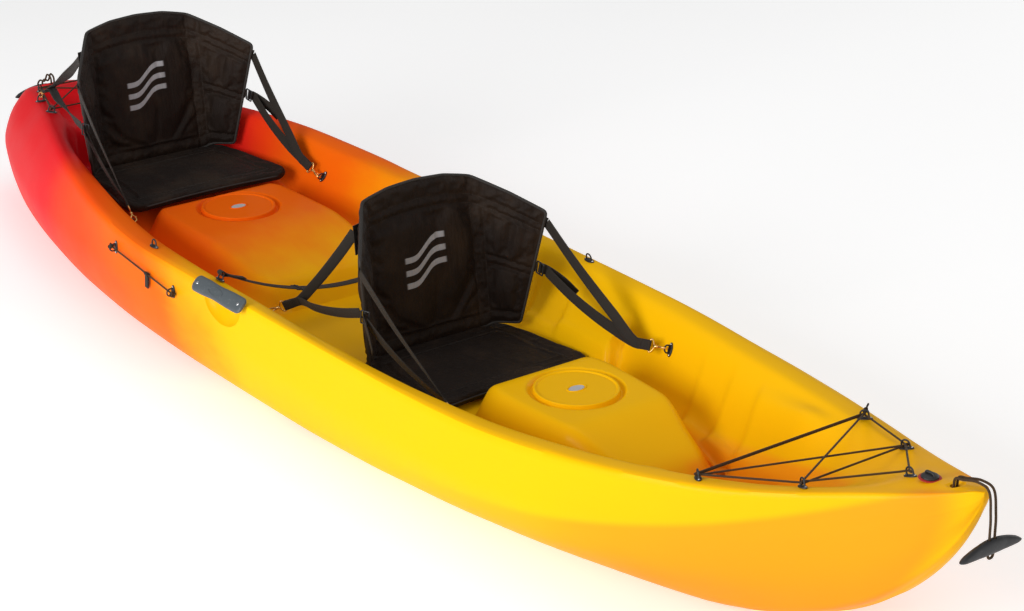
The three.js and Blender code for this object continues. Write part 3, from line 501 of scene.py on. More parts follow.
@dataclass(frozen=True)
class CastMetal:
    """Polished metal with tarnish in the hollows."""

    name: str
    bright: Point
    dull: Point
    rough: float = 0.24

    def make(self) -> bpy.types.Material:
        """Builds the material.

        Returns:
            Metal with fine brushing and uneven tarnish.
        """
        board = Board(self.name)
        place = board.place()
        tarnish = board.noise(place, 240.0, 4.0, 0.62).step(0.42, 0.70)
        brush = board.noise(board.stretched(place, (900.0, 2600.0, 900.0)), 1.0, 2.0, 0.6)
        colour = board.mix(tarnish * 0.6, self.bright, self.dull)
        return board.finish(
            Base_Color=colour, Metallic=1.0,
            Roughness=self.rough + tarnish * 0.20 + brush * 0.06,
            Normal=board.bump(brush + tarnish * 0.5, 0.00005, 0.5),
        )


class Wardrobe:
    """Every finish of the boat, made once."""

    def __init__(self) -> None:
        """Builds the materials."""
        self.hull = HullPlastic().make()
        self.cloth = SeatNylon().make("seat_cloth_plain", mark=False)
        self.marked_cloth = SeatNylon().make("seat_cloth_printed", mark=True)
        self.webbing = WebbingWeave().make()
        self.braid = BraidedSheath().make()
        self.black = MouldedNylon("black_nylon", (0.011, 0.011, 0.012), (0.05, 0.05, 0.052)).make()
        self.grey = MouldedNylon(
            "grip_grey", (0.060, 0.072, 0.080), (0.16, 0.18, 0.19), 0.36
        ).make()
        self.badge = MouldedNylon("badge_pale", (0.46, 0.46, 0.47), (0.72, 0.72, 0.73), 0.3).make()
        self.gasket = MouldedNylon(
            "gasket_red", (0.42, 0.012, 0.006), (0.6, 0.05, 0.03), 0.5
        ).make()
        self.thread = MouldedNylon(
            "seam_thread", (0.030, 0.022, 0.017), (0.09, 0.07, 0.055), 0.7
        ).make()
        self.binding = MouldedNylon(
            "edge_binding", (0.014, 0.011, 0.009), (0.05, 0.04, 0.033), 0.62
        ).make()
        self.brass = CastMetal("cast_brass", (0.78, 0.47, 0.16), (0.30, 0.15, 0.05)).make()
        self.steel = CastMetal("bright_steel", (0.74, 0.74, 0.76), (0.40, 0.39, 0.38), 0.2).make()


# ---------------------------------------------------------------- mesh making


def lengths(path: np.ndarray) -> np.ndarray:
    """Length along a path from its start to each of its points."""
    return np.concatenate([[0.0], np.cumsum(np.linalg.norm(np.diff(path, axis=0), axis=1))])


def unit(vectors: np.ndarray) -> np.ndarray:
    """One vector, or rows of vectors, brought to length 1."""
    return vectors / np.linalg.norm(vectors, axis=-1, keepdims=True)


def ring_faces(rows: int, sides: int, closed: bool = False) -> list[tuple[int, ...]]:
    """Faces between rings of points.

    Args:
        rows: Number of rings.
        sides: Points in each ring.
        closed: Whether the last ring joins the first.

    Returns:
        Four-sided faces.
    """
    faces = []
    for row in range(rows if closed else rows - 1):
        a, b = row * sides, ((row + 1) % rows) * sides
        for k in range(sides):
            m = (k + 1) % sides
            faces.append((a + k, a + m, b + m, b + k))
    return faces


def end_fans(rows: int, sides: int) -> list[tuple[int, ...]]:
    """Fans from the first and last rings to the two points listed after the rings."""
    tip, end = rows * sides, (rows - 1) * sides
    faces = []
    for k in range(sides):
        m = (k + 1) % sides
        faces += [(tip, m, k), (tip + 1, end + k, end + m)]
    return faces


class Workshop:
    """Makes, joins and dresses meshes."""

    def __init__(self, wardrobe: Wardrobe) -> None:
        """Keeps the finishes and counts the pieces."""
        self.wardrobe = wardrobe
        self.count = 0

    @staticmethod
    def mesh(
        name: str, points: np.ndarray, faces: Sequence[Sequence[int]],
        chart: np.ndarray | None = None, sharp: float = 40.0,
    ) -> bpy.types.Object:
        """Makes an object from points and faces.

        Args:
            name: The object's name.
            points: N by 3 array, in metres.
            faces: Corner indices of each face.
            chart: N by 2 UV of each point, in metres.
            sharp: Angle in degrees past which an edge stays sharp.

        Returns:
            The object, smooth shaded, with outward normals.
        """
        data = bpy.data.meshes.new(name)
        data.from_pydata(np.asarray(points, float).tolist(), [], [list(f) for f in faces])
        data.update()
        if chart is not None:
            layer = data.uv_layers.new(name="UVMap")
            index = np.zeros(len(data.loops), np.int32)
            data.loops.foreach_get("vertex_index", index)
            layer.data.foreach_set("uv", np.asarray(chart, np.float32)[index].ravel())
        made = bpy.data.objects.new(name, data)
        bpy.context.scene.collection.objects.link(made)
        Workshop.outward(made)
        Workshop.soften(made, sharp)
        return made

    @staticmethod
    def outward(made: bpy.types.Object) -> None:
        """Turns every face outwards."""
        shape = bmesh.new()
        shape.from_mesh(made.data)
        bmesh.ops.recalc_face_normals(shape, faces=shape.faces)
        shape.to_mesh(made.data)
        shape.free()

    @staticmethod
    def soften(made: bpy.types.Object, sharp: float) -> None:
        """Smooth shading with sharp edges past an angle in degrees."""
        made.data.shade_smooth()
        made.data.set_sharp_from_angle(angle=math.radians(sharp))

    @staticmethod
    def settled(made: bpy.types.Object) -> bpy.types.Object:
        """Applies the modifiers.

        Args:
            made: The object.

        Returns:
            The same object with a plain mesh.
        """
        graph = bpy.context.evaluated_depsgraph_get()
        plain = bpy.data.meshes.new_from_object(made.evaluated_get(graph))
        made.modifiers.clear()
        old = made.data
        made.data = plain
        bpy.data.meshes.remove(old)
        return made

    @staticmethod
    def fused(
        base: bpy.types.Object, tools: Iterable[bpy.types.Object], operation: str = "UNION",
        sharp: float = 40.0,
    ) -> bpy.types.Object:
        """Joins or cuts solids.

        Args:
            base: The first solid.
            tools: The solids joined to it or cut from it; they are removed.
            operation: UNION or DIFFERENCE.
            sharp: Angle in degrees past which an edge stays sharp.

        Returns:
            The base with its new mesh.
        """
        tools = list(tools)
        for tool in tools:
            cut = base.modifiers.new("join", "BOOLEAN")
            cut.operation = operation
            cut.solver = "MANIFOLD"
            cut.object = tool
        Workshop.settled(base)
        for tool in tools:
            bpy.data.objects.remove(tool)
        Workshop.soften(base, sharp)
        return base

    @staticmethod
    def together(name: str, parts: Sequence[bpy.types.Object]) -> bpy.types.Object:
        """Puts several meshes in one object, each left as its own shell.

        Args:
            name: The new object's name.
            parts: The meshes.

        Returns:
            One object.
        """
        with bpy.context.temp_override(
            active_object=parts[0], selected_editable_objects=list(parts)
        ):
            bpy.ops.object.join()
        parts[0].name = name
        return parts[0]

    def dress(
        self, piece: bpy.types.Object, material: bpy.types.Material, slot: Slot,
        body: str | None = "hull", replaces: Sequence[str] = (),
    ) -> bpy.types.Object:
        """Gives a piece its finish and body.

        Args:
            piece: The piece.
            material: Its finish.
            slot: The record's slot; not used.
            body: Body it rides on, or None to leave it unattached.
            replaces: CAD nodes that it stands for.

        Returns:
            The piece.
        """
        piece.data.materials.clear()
        piece.data.materials.append(material)
        if body is not None:
            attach(piece, body)
        if replaces:
            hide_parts(*replaces)
        self.count += 1
        LOG.info("%s: %d faces", piece.name, len(piece.data.polygons))
        return piece

    @staticmethod
    def tube(
        name: str, path: np.ndarray, radius: float | np.ndarray, sides: int = 12,
        closed: bool = False,
    ) -> bpy.types.Object:
        """A round cord along a path, with a UV chart (turn, length).

        Args:
            name: The object's name.
            path: N by 3 points.
            radius: One radius, or one for each point.
            sides: Faces round it.
            closed: Whether the path joins its own start.

        Returns:
            The cord.
        """
        path = np.asarray(path, float)
        count = len(path)
        radii = np.broadcast_to(np.asarray(radius, float), (count,))
        if closed:
            way = np.roll(path, -1, 0) - np.roll(path, 1, 0)
        else:
            way = np.gradient(path, axis=0)
        way = unit(way)
        first = np.cross(way[0], (0.0, 0.0, 1.0))
        if np.linalg.norm(first) < 0.1:
            first = np.cross(way[0], (0.0, 1.0, 0.0))
        side = unit(first)
        sides_at = []
        for index in range(count):
            side = unit(side - way[index] * np.dot(side, way[index]))
            sides_at.append(side)
        right = np.array(sides_at)
        up = np.cross(way, right)
        if closed:
            last = right[-1] - way[0] * np.dot(right[-1], way[0])
            turn = math.atan2(np.dot(last, up[0]), np.dot(last, right[0]))
            share = -turn * np.arange(count) / count
            right, up = (
                right * np.cos(share)[:, None] + up * np.sin(share)[:, None],
                up * np.cos(share)[:, None] - right * np.sin(share)[:, None],
            )
        angle = np.arange(sides) / sides * 2 * math.pi
        ring = (
            right[:, None, :] * np.cos(angle)[None, :, None]
            + up[:, None, :] * np.sin(angle)[None, :, None]
        )
        points = (path[:, None, :] + ring * radii[:, None, None]).reshape(-1, 3)
        run = lengths(path)
        chart = np.stack(
            [np.tile(np.arange(sides) / sides, count), np.repeat(run, sides)], axis=1
        )
        faces = ring_faces(count, sides, closed)
        if not closed:
            points = np.vstack([points, path[0], path[-1]])
            chart = np.vstack([chart, [0.5, 0.0], [0.5, run[-1]]])
            faces += end_fans(count, sides)
        return Workshop.mesh(name, points, faces, chart, 60.0)

    @staticmethod
    def ribbon(
        name: str, path: np.ndarray, across: np.ndarray, width: float, thick: float,
    ) -> bpy.types.Object:
        """Flat tape along a path, with a UV chart (across, length).

        Args:
            name: The object's name.
            path: N by 3 points of its middle line.
            across: N by 3 directions of its width.
            width: Its width.
            thick: Its thickness.

        Returns:
            The tape.
        """
        way = unit(np.gradient(path, axis=0))
        wide = unit(across - way * np.sum(across * way, axis=1)[:, None])
        flat = np.cross(way, wide)
        half = width / 2
        edge = thick * 0.32
        section = [
            (-half, -thick * 0.22), (-half + edge, -thick / 2), (-half * 0.5, -thick / 2),
            (0.0, -thick / 2), (half * 0.5, -thick / 2), (half - edge, -thick / 2),
            (half, -thick * 0.22), (half, thick * 0.22), (half - edge, thick / 2),
            (half * 0.5, thick / 2), (0.0, thick / 2), (-half * 0.5, thick / 2),
            (-half + edge, thick / 2), (-half, thick * 0.22),
        ]
        count, sides = len(path), len(section)
        points = np.concatenate([
            path[:, None, :] + wide[:, None, :] * a + flat[:, None, :] * b
            for a, b in section
        ], axis=1).reshape(-1, 3)
        chart = np.stack(
            [np.tile([a for a, _ in section], count), np.repeat(lengths(path), sides)], axis=1
        )
        faces = ring_faces(count, sides)
        faces.append(tuple(range(sides)))
        faces.append(tuple((count - 1) * sides + k for k in reversed(range(sides))))
        return Workshop.mesh(name, points, faces, chart, 50.0)

    @staticmethod
    def lathe(
        name: str, profile: Sequence[tuple[float, float]], centre: Point,
        frame_axes: np.ndarray | None = None, segments: int = 48,
    ) -> bpy.types.Object:
        """A solid of revolution.

        Args:
            name: The object's name.
            profile: (radius, height) pairs in millimetres, from axis to axis, or a closed ring.
            centre: Its origin in metres.
            frame_axes: 3 by 3 rows u, v and axis; upright if left out.
            segments: Steps round it.

        Returns:
            The solid.
        """
        axes = np.eye(3) if frame_axes is None else np.asarray(frame_axes, float)
        profile = [(r * MM, h * MM) for r, h in profile]
        on_axis = profile[0][0] < 1e-9 and profile[-1][0] < 1e-9
        rings = [p for p in profile if p[0] > 1e-9] if on_axis else list(profile)
        angle = np.arange(segments) / segments * 2 * math.pi
        rows = [
            np.stack([r * np.cos(angle), r * np.sin(angle), np.full(segments, h)], axis=1)
            for r, h in rings
        ]
        points = np.concatenate(rows)
        faces = ring_faces(len(rings), segments, not on_axis)
        if on_axis:
            points = np.vstack([points, [0, 0, profile[0][1]], [0, 0, profile[-1][1]]])
            faces += end_fans(len(rings), segments)
        return Workshop.mesh(name, points @ axes + np.asarray(centre), faces, None, 34.0)


def smooth_path(points: Sequence[Sequence[float]], step: float = 0.006) -> np.ndarray:
    """Smooth centripetal curve through points.

    Args:
        points: The points it goes through.
        step: Length between the points of the result.

    Returns:
        N by 3 array.
    """
    p = np.asarray(points, float)
    p = np.vstack([2 * p[0] - p[1], p, 2 * p[-1] - p[-2]])
    out = []
    for i in range(1, len(p) - 2):
        knots = [0.0]
        for k in range(3):
            knots.append(knots[-1] + max(1e-6, np.linalg.norm(p[i + k] - p[i + k - 1])) ** 0.5)
        n = max(2, int(np.linalg.norm(p[i + 1] - p[i]) / step))
        t = np.linspace(knots[1], knots[2], n, endpoint=False)[:, None]
        t0, t1, t2, t3 = knots
        a1 = (t1 - t) / (t1 - t0) * p[i - 1] + (t - t0) / (t1 - t0) * p[i]
        a2 = (t2 - t) / (t2 - t1) * p[i] + (t - t1) / (t2 - t1) * p[i + 1]
        a3 = (t3 - t) / (t3 - t2) * p[i + 1] + (t - t2) / (t3 - t2) * p[i + 2]
        b1 = (t2 - t) / (t2 - t0) * a1 + (t - t0) / (t2 - t0) * a2
        b2 = (t3 - t) / (t3 - t1) * a2 + (t - t1) / (t3 - t1) * a3
        out.append((t2 - t) / (t2 - t1) * b1 + (t - t1) / (t2 - t1) * b2)
    out.append(p[-2][None, :])
    return np.vstack(out)


def ease(low: float, high: float, value: np.ndarray | float) -> np.ndarray:
    """Smooth step from 0 at low to 1 at high."""
    t = np.clip((np.asarray(value, float) - low) / (high - low), 0, 1)
    return t * t * (3 - 2 * t)


# ---------------------------------------------------------------- hull form


@dataclass(frozen=True)
class Fair:
    """A faired line of the boat: (station, value) rows in millimetres."""

    rows: Rows

    def __call__(self, x: np.ndarray | float) -> np.ndarray:
        """Value at stations x, level beyond the ends.

        Args:
            x: Stations.

        Returns:
            Values of the same shape.
        """
        xs, ys = (np.array(v, float) for v in zip(*self.rows))
        at = np.clip(np.asarray(x, float), xs[0], xs[-1])
        slope = np.diff(ys) / np.diff(xs)
        tangent = np.zeros(len(xs))
        tangent[0], tangent[-1] = slope[0], slope[-1]
        before, after = slope[:-1], slope[1:]
        same = before * after > 0
        tangent[1:-1][same] = (2 * before * after)[same] / (before + after)[same]
        i = np.clip(np.searchsorted(xs, at, side="left") - 1, 0, len(xs) - 2)
        h = xs[i + 1] - xs[i]
        t = (at - xs[i]) / h
        return (
            (2 * t**3 - 3 * t**2 + 1) * ys[i] + (t**3 - 2 * t**2 + t) * h * tangent[i]
            + (3 * t**2 - 2 * t**3) * ys[i + 1] + (t**3 - t**2) * h * tangent[i + 1]
        )


@dataclass(frozen=True)
class HullForm:
    """Lines of the hull in millimetres, and the deck height they give."""

    keel_z: Fair = Fair((
        (-1829, 118), (-1820, 98), (-1800, 76), (-1760, 54), (-1700, 34), (-1600, 17), (-1450, 5),
        (-1250, 0), (1270, 0), (1360, 12), (1435, 32), (1524, 72), (1608, 124), (1687, 196),
        (1762, 288), (1795, 346), (1818, 398), (1829, 430),
    ))
    chine_y: Fair = Fair((
        (-1829, 60), (-1820, 88), (-1800, 116), (-1760, 142), (-1700, 166), (-1600, 205),
        (-1450, 250), (-1200, 303), (-900, 350), (-600, 379), (-300, 389), (100, 386), (350, 374),
        (600, 347), (900, 300), (1070, 262), (1220, 222), (1360, 176), (1480, 133), (1600, 88),
        (1710, 46), (1790, 18), (1818, 10), (1829, 5),
    ))
    chine_z: Fair = Fair((
        (-1829, 140), (-1820, 126), (-1800, 110), (-1760, 95), (-1700, 82), (-1600, 68),
        (-1450, 55), (-1200, 44), (-900, 37), (600, 37), (900, 42), (1070, 48), (1220, 57),
        (1360, 76), (1480, 106), (1600, 158), (1710, 246), (1790, 352), (1818, 406), (1829, 433),
    ))
    belly_y: Fair = Fair((
        (-1829, 70), (-1820, 104), (-1800, 139), (-1760, 168), (-1700, 197), (-1600, 236),
        (-1450, 286), (-1200, 352), (-900, 400), (-600, 427), (-400, 432), (0, 424), (300, 418),
        (600, 406), (900, 372), (1070, 338), (1220, 292), (1360, 245), (1480, 192), (1600, 136),
        (1710, 83), (1790, 38), (1818, 20), (1829, 8),
    ))
    belly_z: Fair = Fair((
        (-1829, 190), (-1800, 187), (-1700, 176), (-1450, 170), (-1200, 172), (-600, 172),
        (0, 160), (500, 150), (900, 155), (1070, 188), (1220, 217), (1360, 248), (1480, 276),
        (1600, 316), (1710, 362), (1790, 405), (1818, 424), (1829, 438),
    ))
    rim_y: Fair = Fair((
        (-1829, 34), (-1820, 54), (-1800, 72), (-1760, 88), (-1700, 106), (-1600, 136),
        (-1450, 194), (-1200, 288), (-1000, 352), (-875, 383), (-750, 407), (-625, 422),
        (-450, 430), (-250, 428), (0, 420), (300, 416), (500, 411), (625, 404), (750, 392),
        (875, 374), (1000, 350), (1125, 319), (1250, 281), (1375, 235), (1500, 179), (1625, 116),
        (1710, 76), (1790, 34), (1818, 17), (1829, 7),
    ))
    rim_z: Fair = Fair((
        (-1829, 262), (-1820, 280), (-1800, 292), (-1760, 301), (-1700, 307), (-1600, 315),
        (-1450, 328), (-1200, 333), (-1000, 325), (-750, 304), (-500, 290), (500, 290),
        (750, 289), (1000, 300), (1250, 323), (1375, 340), (1500, 364), (1625, 395), (1710, 416),
        (1790, 438), (1818, 446), (1829, 446),
    ))
    rim_band: Fair = Fair((
        (-1829, 10), (-1800, 22), (-1700, 34), (-1450, 50), (-1200, 44), (-800, 62), (-600, 60),
        (-300, 50), (200, 40), (500, 44), (700, 52), (1000, 58), (1250, 52), (1450, 42),
        (1600, 30), (1700, 22), (1790, 10), (1829, 2),
    ))
    inner_drop: Fair = Fair((
        (-1829, -4), (-1700, -2), (-1450, 6), (-1000, 8), (-400, 3), (400, 9), (800, 5),
        (1100, 2), (1500, 0), (1829, -1),
    ))
    floor_y: Fair = Fair((
        (-1829, 6), (-1740, 30), (-1660, 78), (-1450, 110), (-1330, 158), (-1250, 206),
        (-1100, 240), (-900, 256), (-600, 275), (-300, 288), (0, 286), (300, 278), (600, 254),
        (800, 226), (1000, 182), (1120, 142), (1260, 92), (1400, 52), (1560, 22), (1700, 10),
        (1829, 2),
    ))
    floor_z: Fair = Fair((
        (-1829, 276), (-1760, 308), (-1700, 306), (-1655, 268), (-1470, 264), (-1420, 300),
        (-1375, 302), (-1290, 206), (-980, 196), (-860, 158), (-500, 138), (-280, 118), (60, 114),
        (500, 110), (1060, 98), (1140, 112), (1260, 176), (1400, 262), (1520, 338), (1640, 402),
        (1710, 420), (1790, 441), (1829, 448),
    ))
    console_z: Fair = Fair((
        (-892, 0), (-868, 222), (-850, 227), (-620, 227), (-400, 194), (-345, 184), (-300, 130),
        (-250, 0), (430, 0), (460, 112), (490, 182), (520, 215), (545, 220), (782, 220),
        (880, 186), (1010, 124), (1070, 0),
    ))
    console_y: Fair = Fair((
        (-960, 150), (-880, 160), (-820, 176), (-620, 180), (-400, 166), (-345, 146), (-250, 96),
        (0, 90), (430, 66), (470, 102), (520, 130), (580, 143), (760, 134), (880, 104),
        (1010, 66), (1070, 44), (1300, 30), (1829, 2),
    ))
    console_slope: Fair = Fair((
        (-960, 34), (-800, 62), (-345, 76), (452, 74), (900, 76), (1060, 44), (1400, 12),
        (1829, 1),
    ))
    rear_steps: tuple[float, ...] = (40, 170, 300)
    front_steps: tuple[float, ...] = (790, 900, 1010)
    keel_strip: float = 36.0

    def inner_y(self, x: np.ndarray) -> np.ndarray:
        """Half-width inside the rim band."""
        return np.maximum(3, self.rim_y(x) - self.rim_band(x))

    def inner_z(self, x: np.ndarray) -> np.ndarray:
        """Height of the inner edge of the rim band."""
        return self.rim_z(x) - self.inner_drop(x)

    def foot_rest(self, x: np.ndarray, y: np.ndarray) -> np.ndarray:
        """Height that the stepped foot rests add.

        Args:
            x: Stations.
            y: Distances from the centreline.

        Returns:
            The rise.
        """
        inner = self.inner_y(x)
        start = np.where(x < 600, 240, inner * 0.5)
        t = np.clip((y - start) / 30, 0, 1)
        outer = np.clip((y - inner * 0.78) / (inner * 0.18), 0, 1)
        side = t * t * (3 - 2 * t) * (1 - outer * outer * (3 - 2 * outer))
        bow = y * 0.25
        rise = np.zeros(np.broadcast(x, y).shape)
        for edge in self.rear_steps:
            rise = rise + 22 * ease(edge, edge + 22, x + bow) * (1 - ease(500, 530, x + bow))
        for edge in self.front_steps:
            rise = rise + 17 * ease(edge, edge + 22, x + bow) * (1 - ease(1130, 1300, x))
        return rise * side

    def deck_z(self, x: np.ndarray, y: np.ndarray) -> np.ndarray:
        """Deck height.

        Args:
            x: Stations.
            y: Distances from the centreline, either side.

        Returns:
            Heights.
        """
        x, y = np.broadcast_arrays(np.asarray(x, float), np.abs(np.asarray(y, float)))
        inner = self.inner_y(x)
        floor = self.floor_z(x)
        rim = self.inner_z(x)
        foot = np.minimum(self.floor_y(x), inner * 0.96)
        t = np.clip((y - foot) / (inner - foot), 0, 1)
        z = floor + (rim - floor) * (0.35 * t + 0.65 * t * t * (3 - 2 * t))
        top = self.console_z(x)
        half = self.console_y(x)
        u = np.clip((y - half) / self.console_slope(x), 0, 1)
        share = 1 - u * u * (3 - 2 * u)
        raised = floor + (top - floor) * share
        z = np.where((top * share > 0) & (top > floor), np.maximum(z, raised), z)
        return np.minimum(z + self.foot_rest(x, y), np.maximum(z, rim))

    def top_z(self, x: float, y: float) -> float:
        """Height of the upper surface, rim band included."""
        side, inner = abs(y), float(self.inner_y(x))
        if side <= inner:
            return float(self.deck_z(x, side))
        share = (side - inner) / (float(self.rim_y(x)) - inner)
        return float(self.inner_z(x)) * (1 - share) + float(self.rim_z(x)) * share

    def top_normal(self, x: float, y: float) -> np.ndarray:
        """Outward direction of the upper surface."""
        d = 14.0
        slope_x = (self.top_z(x + d, y) - self.top_z(x - d, y)) / (2 * d)
        slope_y = (self.top_z(x, y + d) - self.top_z(x, y - d)) / (2 * d)
        n = np.array([-slope_x, -slope_y, 1.0])
        return n / np.linalg.norm(n)

    def side_points(self, x: float) -> np.ndarray:
        """Corner points of the outer section from the keel to the rim."""
        keel, cy, cz = float(self.keel_z(x)), float(self.chine_y(x)), float(self.chine_z(x))
        by, bz = float(self.belly_y(x)), float(self.belly_z(x))
        ry, rz = float(self.rim_y(x)), float(self.rim_z(x))
        return np.array([
            (0, keel), (min(self.keel_strip, cy * 0.3), keel),
            (cy * 0.42, keel + (cz - keel) * 0.16), (cy * 0.82, keel + (cz - keel) * 0.45),
            (cy, cz), (cy + (by - cy) * 0.62, cz + (bz - cz) * 0.4), (by, bz),
            (by + (ry - by) * 0.36, bz + (rz - bz) * 0.55), (ry, rz),
        ])

    def side_y(self, x: float, z: float) -> float:
        """Half-breadth of the side at a height."""
        points = self.side_points(x)[3:]
        return float(np.interp(z, points[:, 1], points[:, 0]))


@dataclass
class Hull:
    """The moulded hull with its wells, discs, drain tubes and bores."""

    form: HullForm
    shop: Workshop
    outer_steps: int = 40
    deck_steps: int = 66
    disc_radius: float = 96.0
    disc_moat: float = 15.0
    discs: tuple[tuple[float, float], ...] = ((650.0, 220.0), (-755.0, 227.0))
    scupper_radius: float = 16.0
    scuppers: tuple[tuple[float, float], ...] = ((968, 138), (500, 224), (-170, 200))
    grip_x: float = -137.0
    grip_z: float = 283.0
    plug_x: float = 1690.0
    rope_x: tuple[float, float] = (1752.0, -1768.0)

    def stations(self) -> np.ndarray:
        """Stations in millimetres, closer together at the two stems."""
        stern, middle = np.arange(-1829, -1690, 4.0), np.arange(-1690, 1700, 10.0)
        return np.unique(np.concatenate([stern, middle, np.arange(1700, 1829, 5.0), [1829.0]]))

    def section(self, x: float) -> np.ndarray:
        """Half section at a station, keel to rim to centreline.

        Args:
            x: The station.

        Returns:
            N by 2 array of y and z.
        """
        corners = self.form.side_points(x)
        bottom = self.spline(corners[1:7], self.outer_steps - 12)
        upper = self.spline(corners[6:], 12)
        outer = np.vstack([corners[:1], bottom, upper[1:]])
        inner = float(self.form.inner_y(x))
        rim = np.array([(float(self.form.rim_y(x)), float(self.form.rim_z(x)))])
        lip = np.array([(inner, float(self.form.inner_z(x)))])
        band = rim + (lip - rim) * np.linspace(0, 1, 6)[1:, None]
        across = inner * (1 - np.linspace(0, 1, self.deck_steps)[1:])
        deck = np.stack([across, self.form.deck_z(x, across)], axis=1)
        whole = np.vstack([outer, band, deck])
        joined = self.outer_steps - 3
        rounded = whole.copy()
        for _ in range(2):
            centre = (rounded[:-2] + 2 * rounded[1:-1] + rounded[2:]) / 4
            rounded[joined - 14 : -1] = centre[joined - 15 :]
        return rounded

    @staticmethod
    def spline(points: np.ndarray, count: int) -> np.ndarray:
        """Even steps along a smooth curve through the points."""
        flat = np.hstack([points, np.zeros((len(points), 1))])
        fine = smooth_path(flat, 1.5)[:, :2]
        run = lengths(fine)
        at = np.linspace(0, run[-1], count)
        return np.stack([np.interp(at, run, fine[:, k]) for k in (0, 1)], axis=1)

    def skin(self) -> bpy.types.Object:
        """The closed moulding before its openings are cut."""
        rings = []
        for x in self.stations():
            half = self.section(float(x))
            mirrored = half[1:-1][::-1] * (-1, 1)
            ring = np.vstack([half, mirrored])
            rings.append(np.hstack([np.full((len(ring), 1), x), ring]))
        shape = len(rings), len(rings[0])
        points = np.vstack([*rings, rings[0].mean(axis=0), rings[-1].mean(axis=0)])
        faces = ring_faces(*shape) + end_fans(*shape)
        return Workshop.mesh("hull_moulding", points * MM, faces, None, 50.0)

    def post(
        self, x: float, y: float, low: float, high: float, radius: float, segments: int = 40
    ) -> bpy.types.Object:
        """An upright cutter."""
        profile = [(0, low), (radius, low), (radius, high), (0, high)]
        return Workshop.lathe("cutter", profile, (x * MM, y * MM, 0), None, segments)

    def dish(self, x: float, y: float, z: float, radius: float, depth: float) -> bpy.types.Object:
        """A shallow countersink with a rounded floor."""
        profile = [
            (0, z - depth), (radius * 0.62, z - depth), (radius * 0.86, z - depth * 0.7),
            (radius, z), (radius * 1.06, z + 30), (0, z + 30),
        ]
        return Workshop.lathe("cutter", profile, (x * MM, y * MM, 0), None, 56)

    def cutters(self) -> list[bpy.types.Object]:
        """Everything that is cut out of the moulding."""
        made = []
        r, moat = self.disc_radius, self.disc_moat
        for x, z in self.discs:
            profile = [
                (r + 0.5, 9), (r + 0.5, -5), (r + 2.5, -9.4), (r + 6, -10), (r + moat - 5, -6.5),
                (r + moat - 1, -2), (r + moat + 2.5, 1.0), (r + moat + 4, 9),
            ]
            raised = [(a, z + h) for a, h in profile]
            made.append(Workshop.lathe("cutter", raised, (x * MM, 0, 0), None, 128))
        for x, y in self.scuppers:
            for side in (-1, 1):
                made.append(self.post(x, side * y, -30, 330, self.scupper_radius))
                z = float(self.form.deck_z(x, y))
                made.append(self.dish(x, side * y, z + 0.5, self.scupper_radius + 9, 5.0))
        for side in (-1, 1):
            made.append(self.scoop(side))
        z = float(self.form.deck_z(self.plug_x, 0))
        made.append(self.post(self.plug_x, 0, z - 34, z + 30, 12))
        for x in self.rope_x:
            z = float(self.form.deck_z(x, 0))
            made.append(self.post(x, 0, z - 36, z + 30, 9.5))
            made.append(self.dish(x, 0, z + 0.6, 21, 5.5))
        return made

    def scoop(self, side: int) -> bpy.types.Object:
        """Finger recess behind a side grip."""
        n, m = 48, 32
        u = np.arange(n) / n * 2 * math.pi
        v = np.linspace(0, math.pi, m)[1:-1]
        points = [
            (self.grip_x + 80 * math.cos(b), side * 438 + 40 * math.sin(b) * math.cos(a),
             self.grip_z - 14 + 62 * math.sin(b) * math.sin(a))
            for b in v for a in u
        ]
        points += [(self.grip_x + 80, side * 438, self.grip_z - 14),
                   (self.grip_x - 80, side * 438, self.grip_z - 14)]
        faces = ring_faces(m - 2, n) + end_fans(m - 2, n)
        return Workshop.mesh("cutter", np.array(points) * MM, faces, None)

    def lips(self) -> list[bpy.types.Object]:
        """Raised rounded rim and oval centre lip of each disc."""
        made = []
        for x, z in self.discs:
            r = self.disc_radius
            profile = [(r - 9, -3), (r + 0.4, -6), (r + 0.4, 1.2), (r - 0.8, 2.6), (r - 3, 3.0),
                       (r - 5.2, 2.4), (r - 7.5, 0.4)]
            raised = [(a, z + h) for a, h in profile]
            made.append(Workshop.lathe("lip", raised, (x * MM, 0, 0), None, 128))
            angle = np.arange(64) / 64 * 2 * math.pi
            oval = np.stack([
                (x + 14.5 * np.cos(angle)) * MM, 24 * np.sin(angle) * MM,
                np.full(64, (z - 0.1) * MM),
            ], axis=1)
            made.append(Workshop.tube("lip", oval, 1.9 * MM, 10, closed=True))
        return made

    def make(self) -> bpy.types.Object:
        """Builds and dresses the hull and its badges.

        Returns:
            The hull.
        """
        hull = self.skin()
        Workshop.fused(hull, self.cutters(), "DIFFERENCE", 42.0)
        Workshop.fused(hull, self.lips(), "UNION", 42.0)
        hull.name = "hull_moulding"
        self.shop.dress(hull, self.shop.wardrobe.hull, Slot.HULL, "hull", ["hull"])
        for word, (x, z) in zip(("front", "rear"), self.discs):
            badge = Workshop.lathe(
                f"{word}_disc_badge",
                [(0, -0.4), (19.5, -0.4), (20.4, 0.6), (19.4, 1.3), (16.6, 1.1), (0, 1.5)],
                (0, 0, 0), None, 64,
            )
            badge.data.transform(
                Matrix.Translation((x * MM, 0, z * MM)) @ Matrix.Diagonal((0.58, 1.0, 1.0, 1.0))
            )
            self.shop.dress(badge, self.shop.wardrobe.badge, Slot.GRIP)
        return hull


# ---------------------------------------------------------------- studio


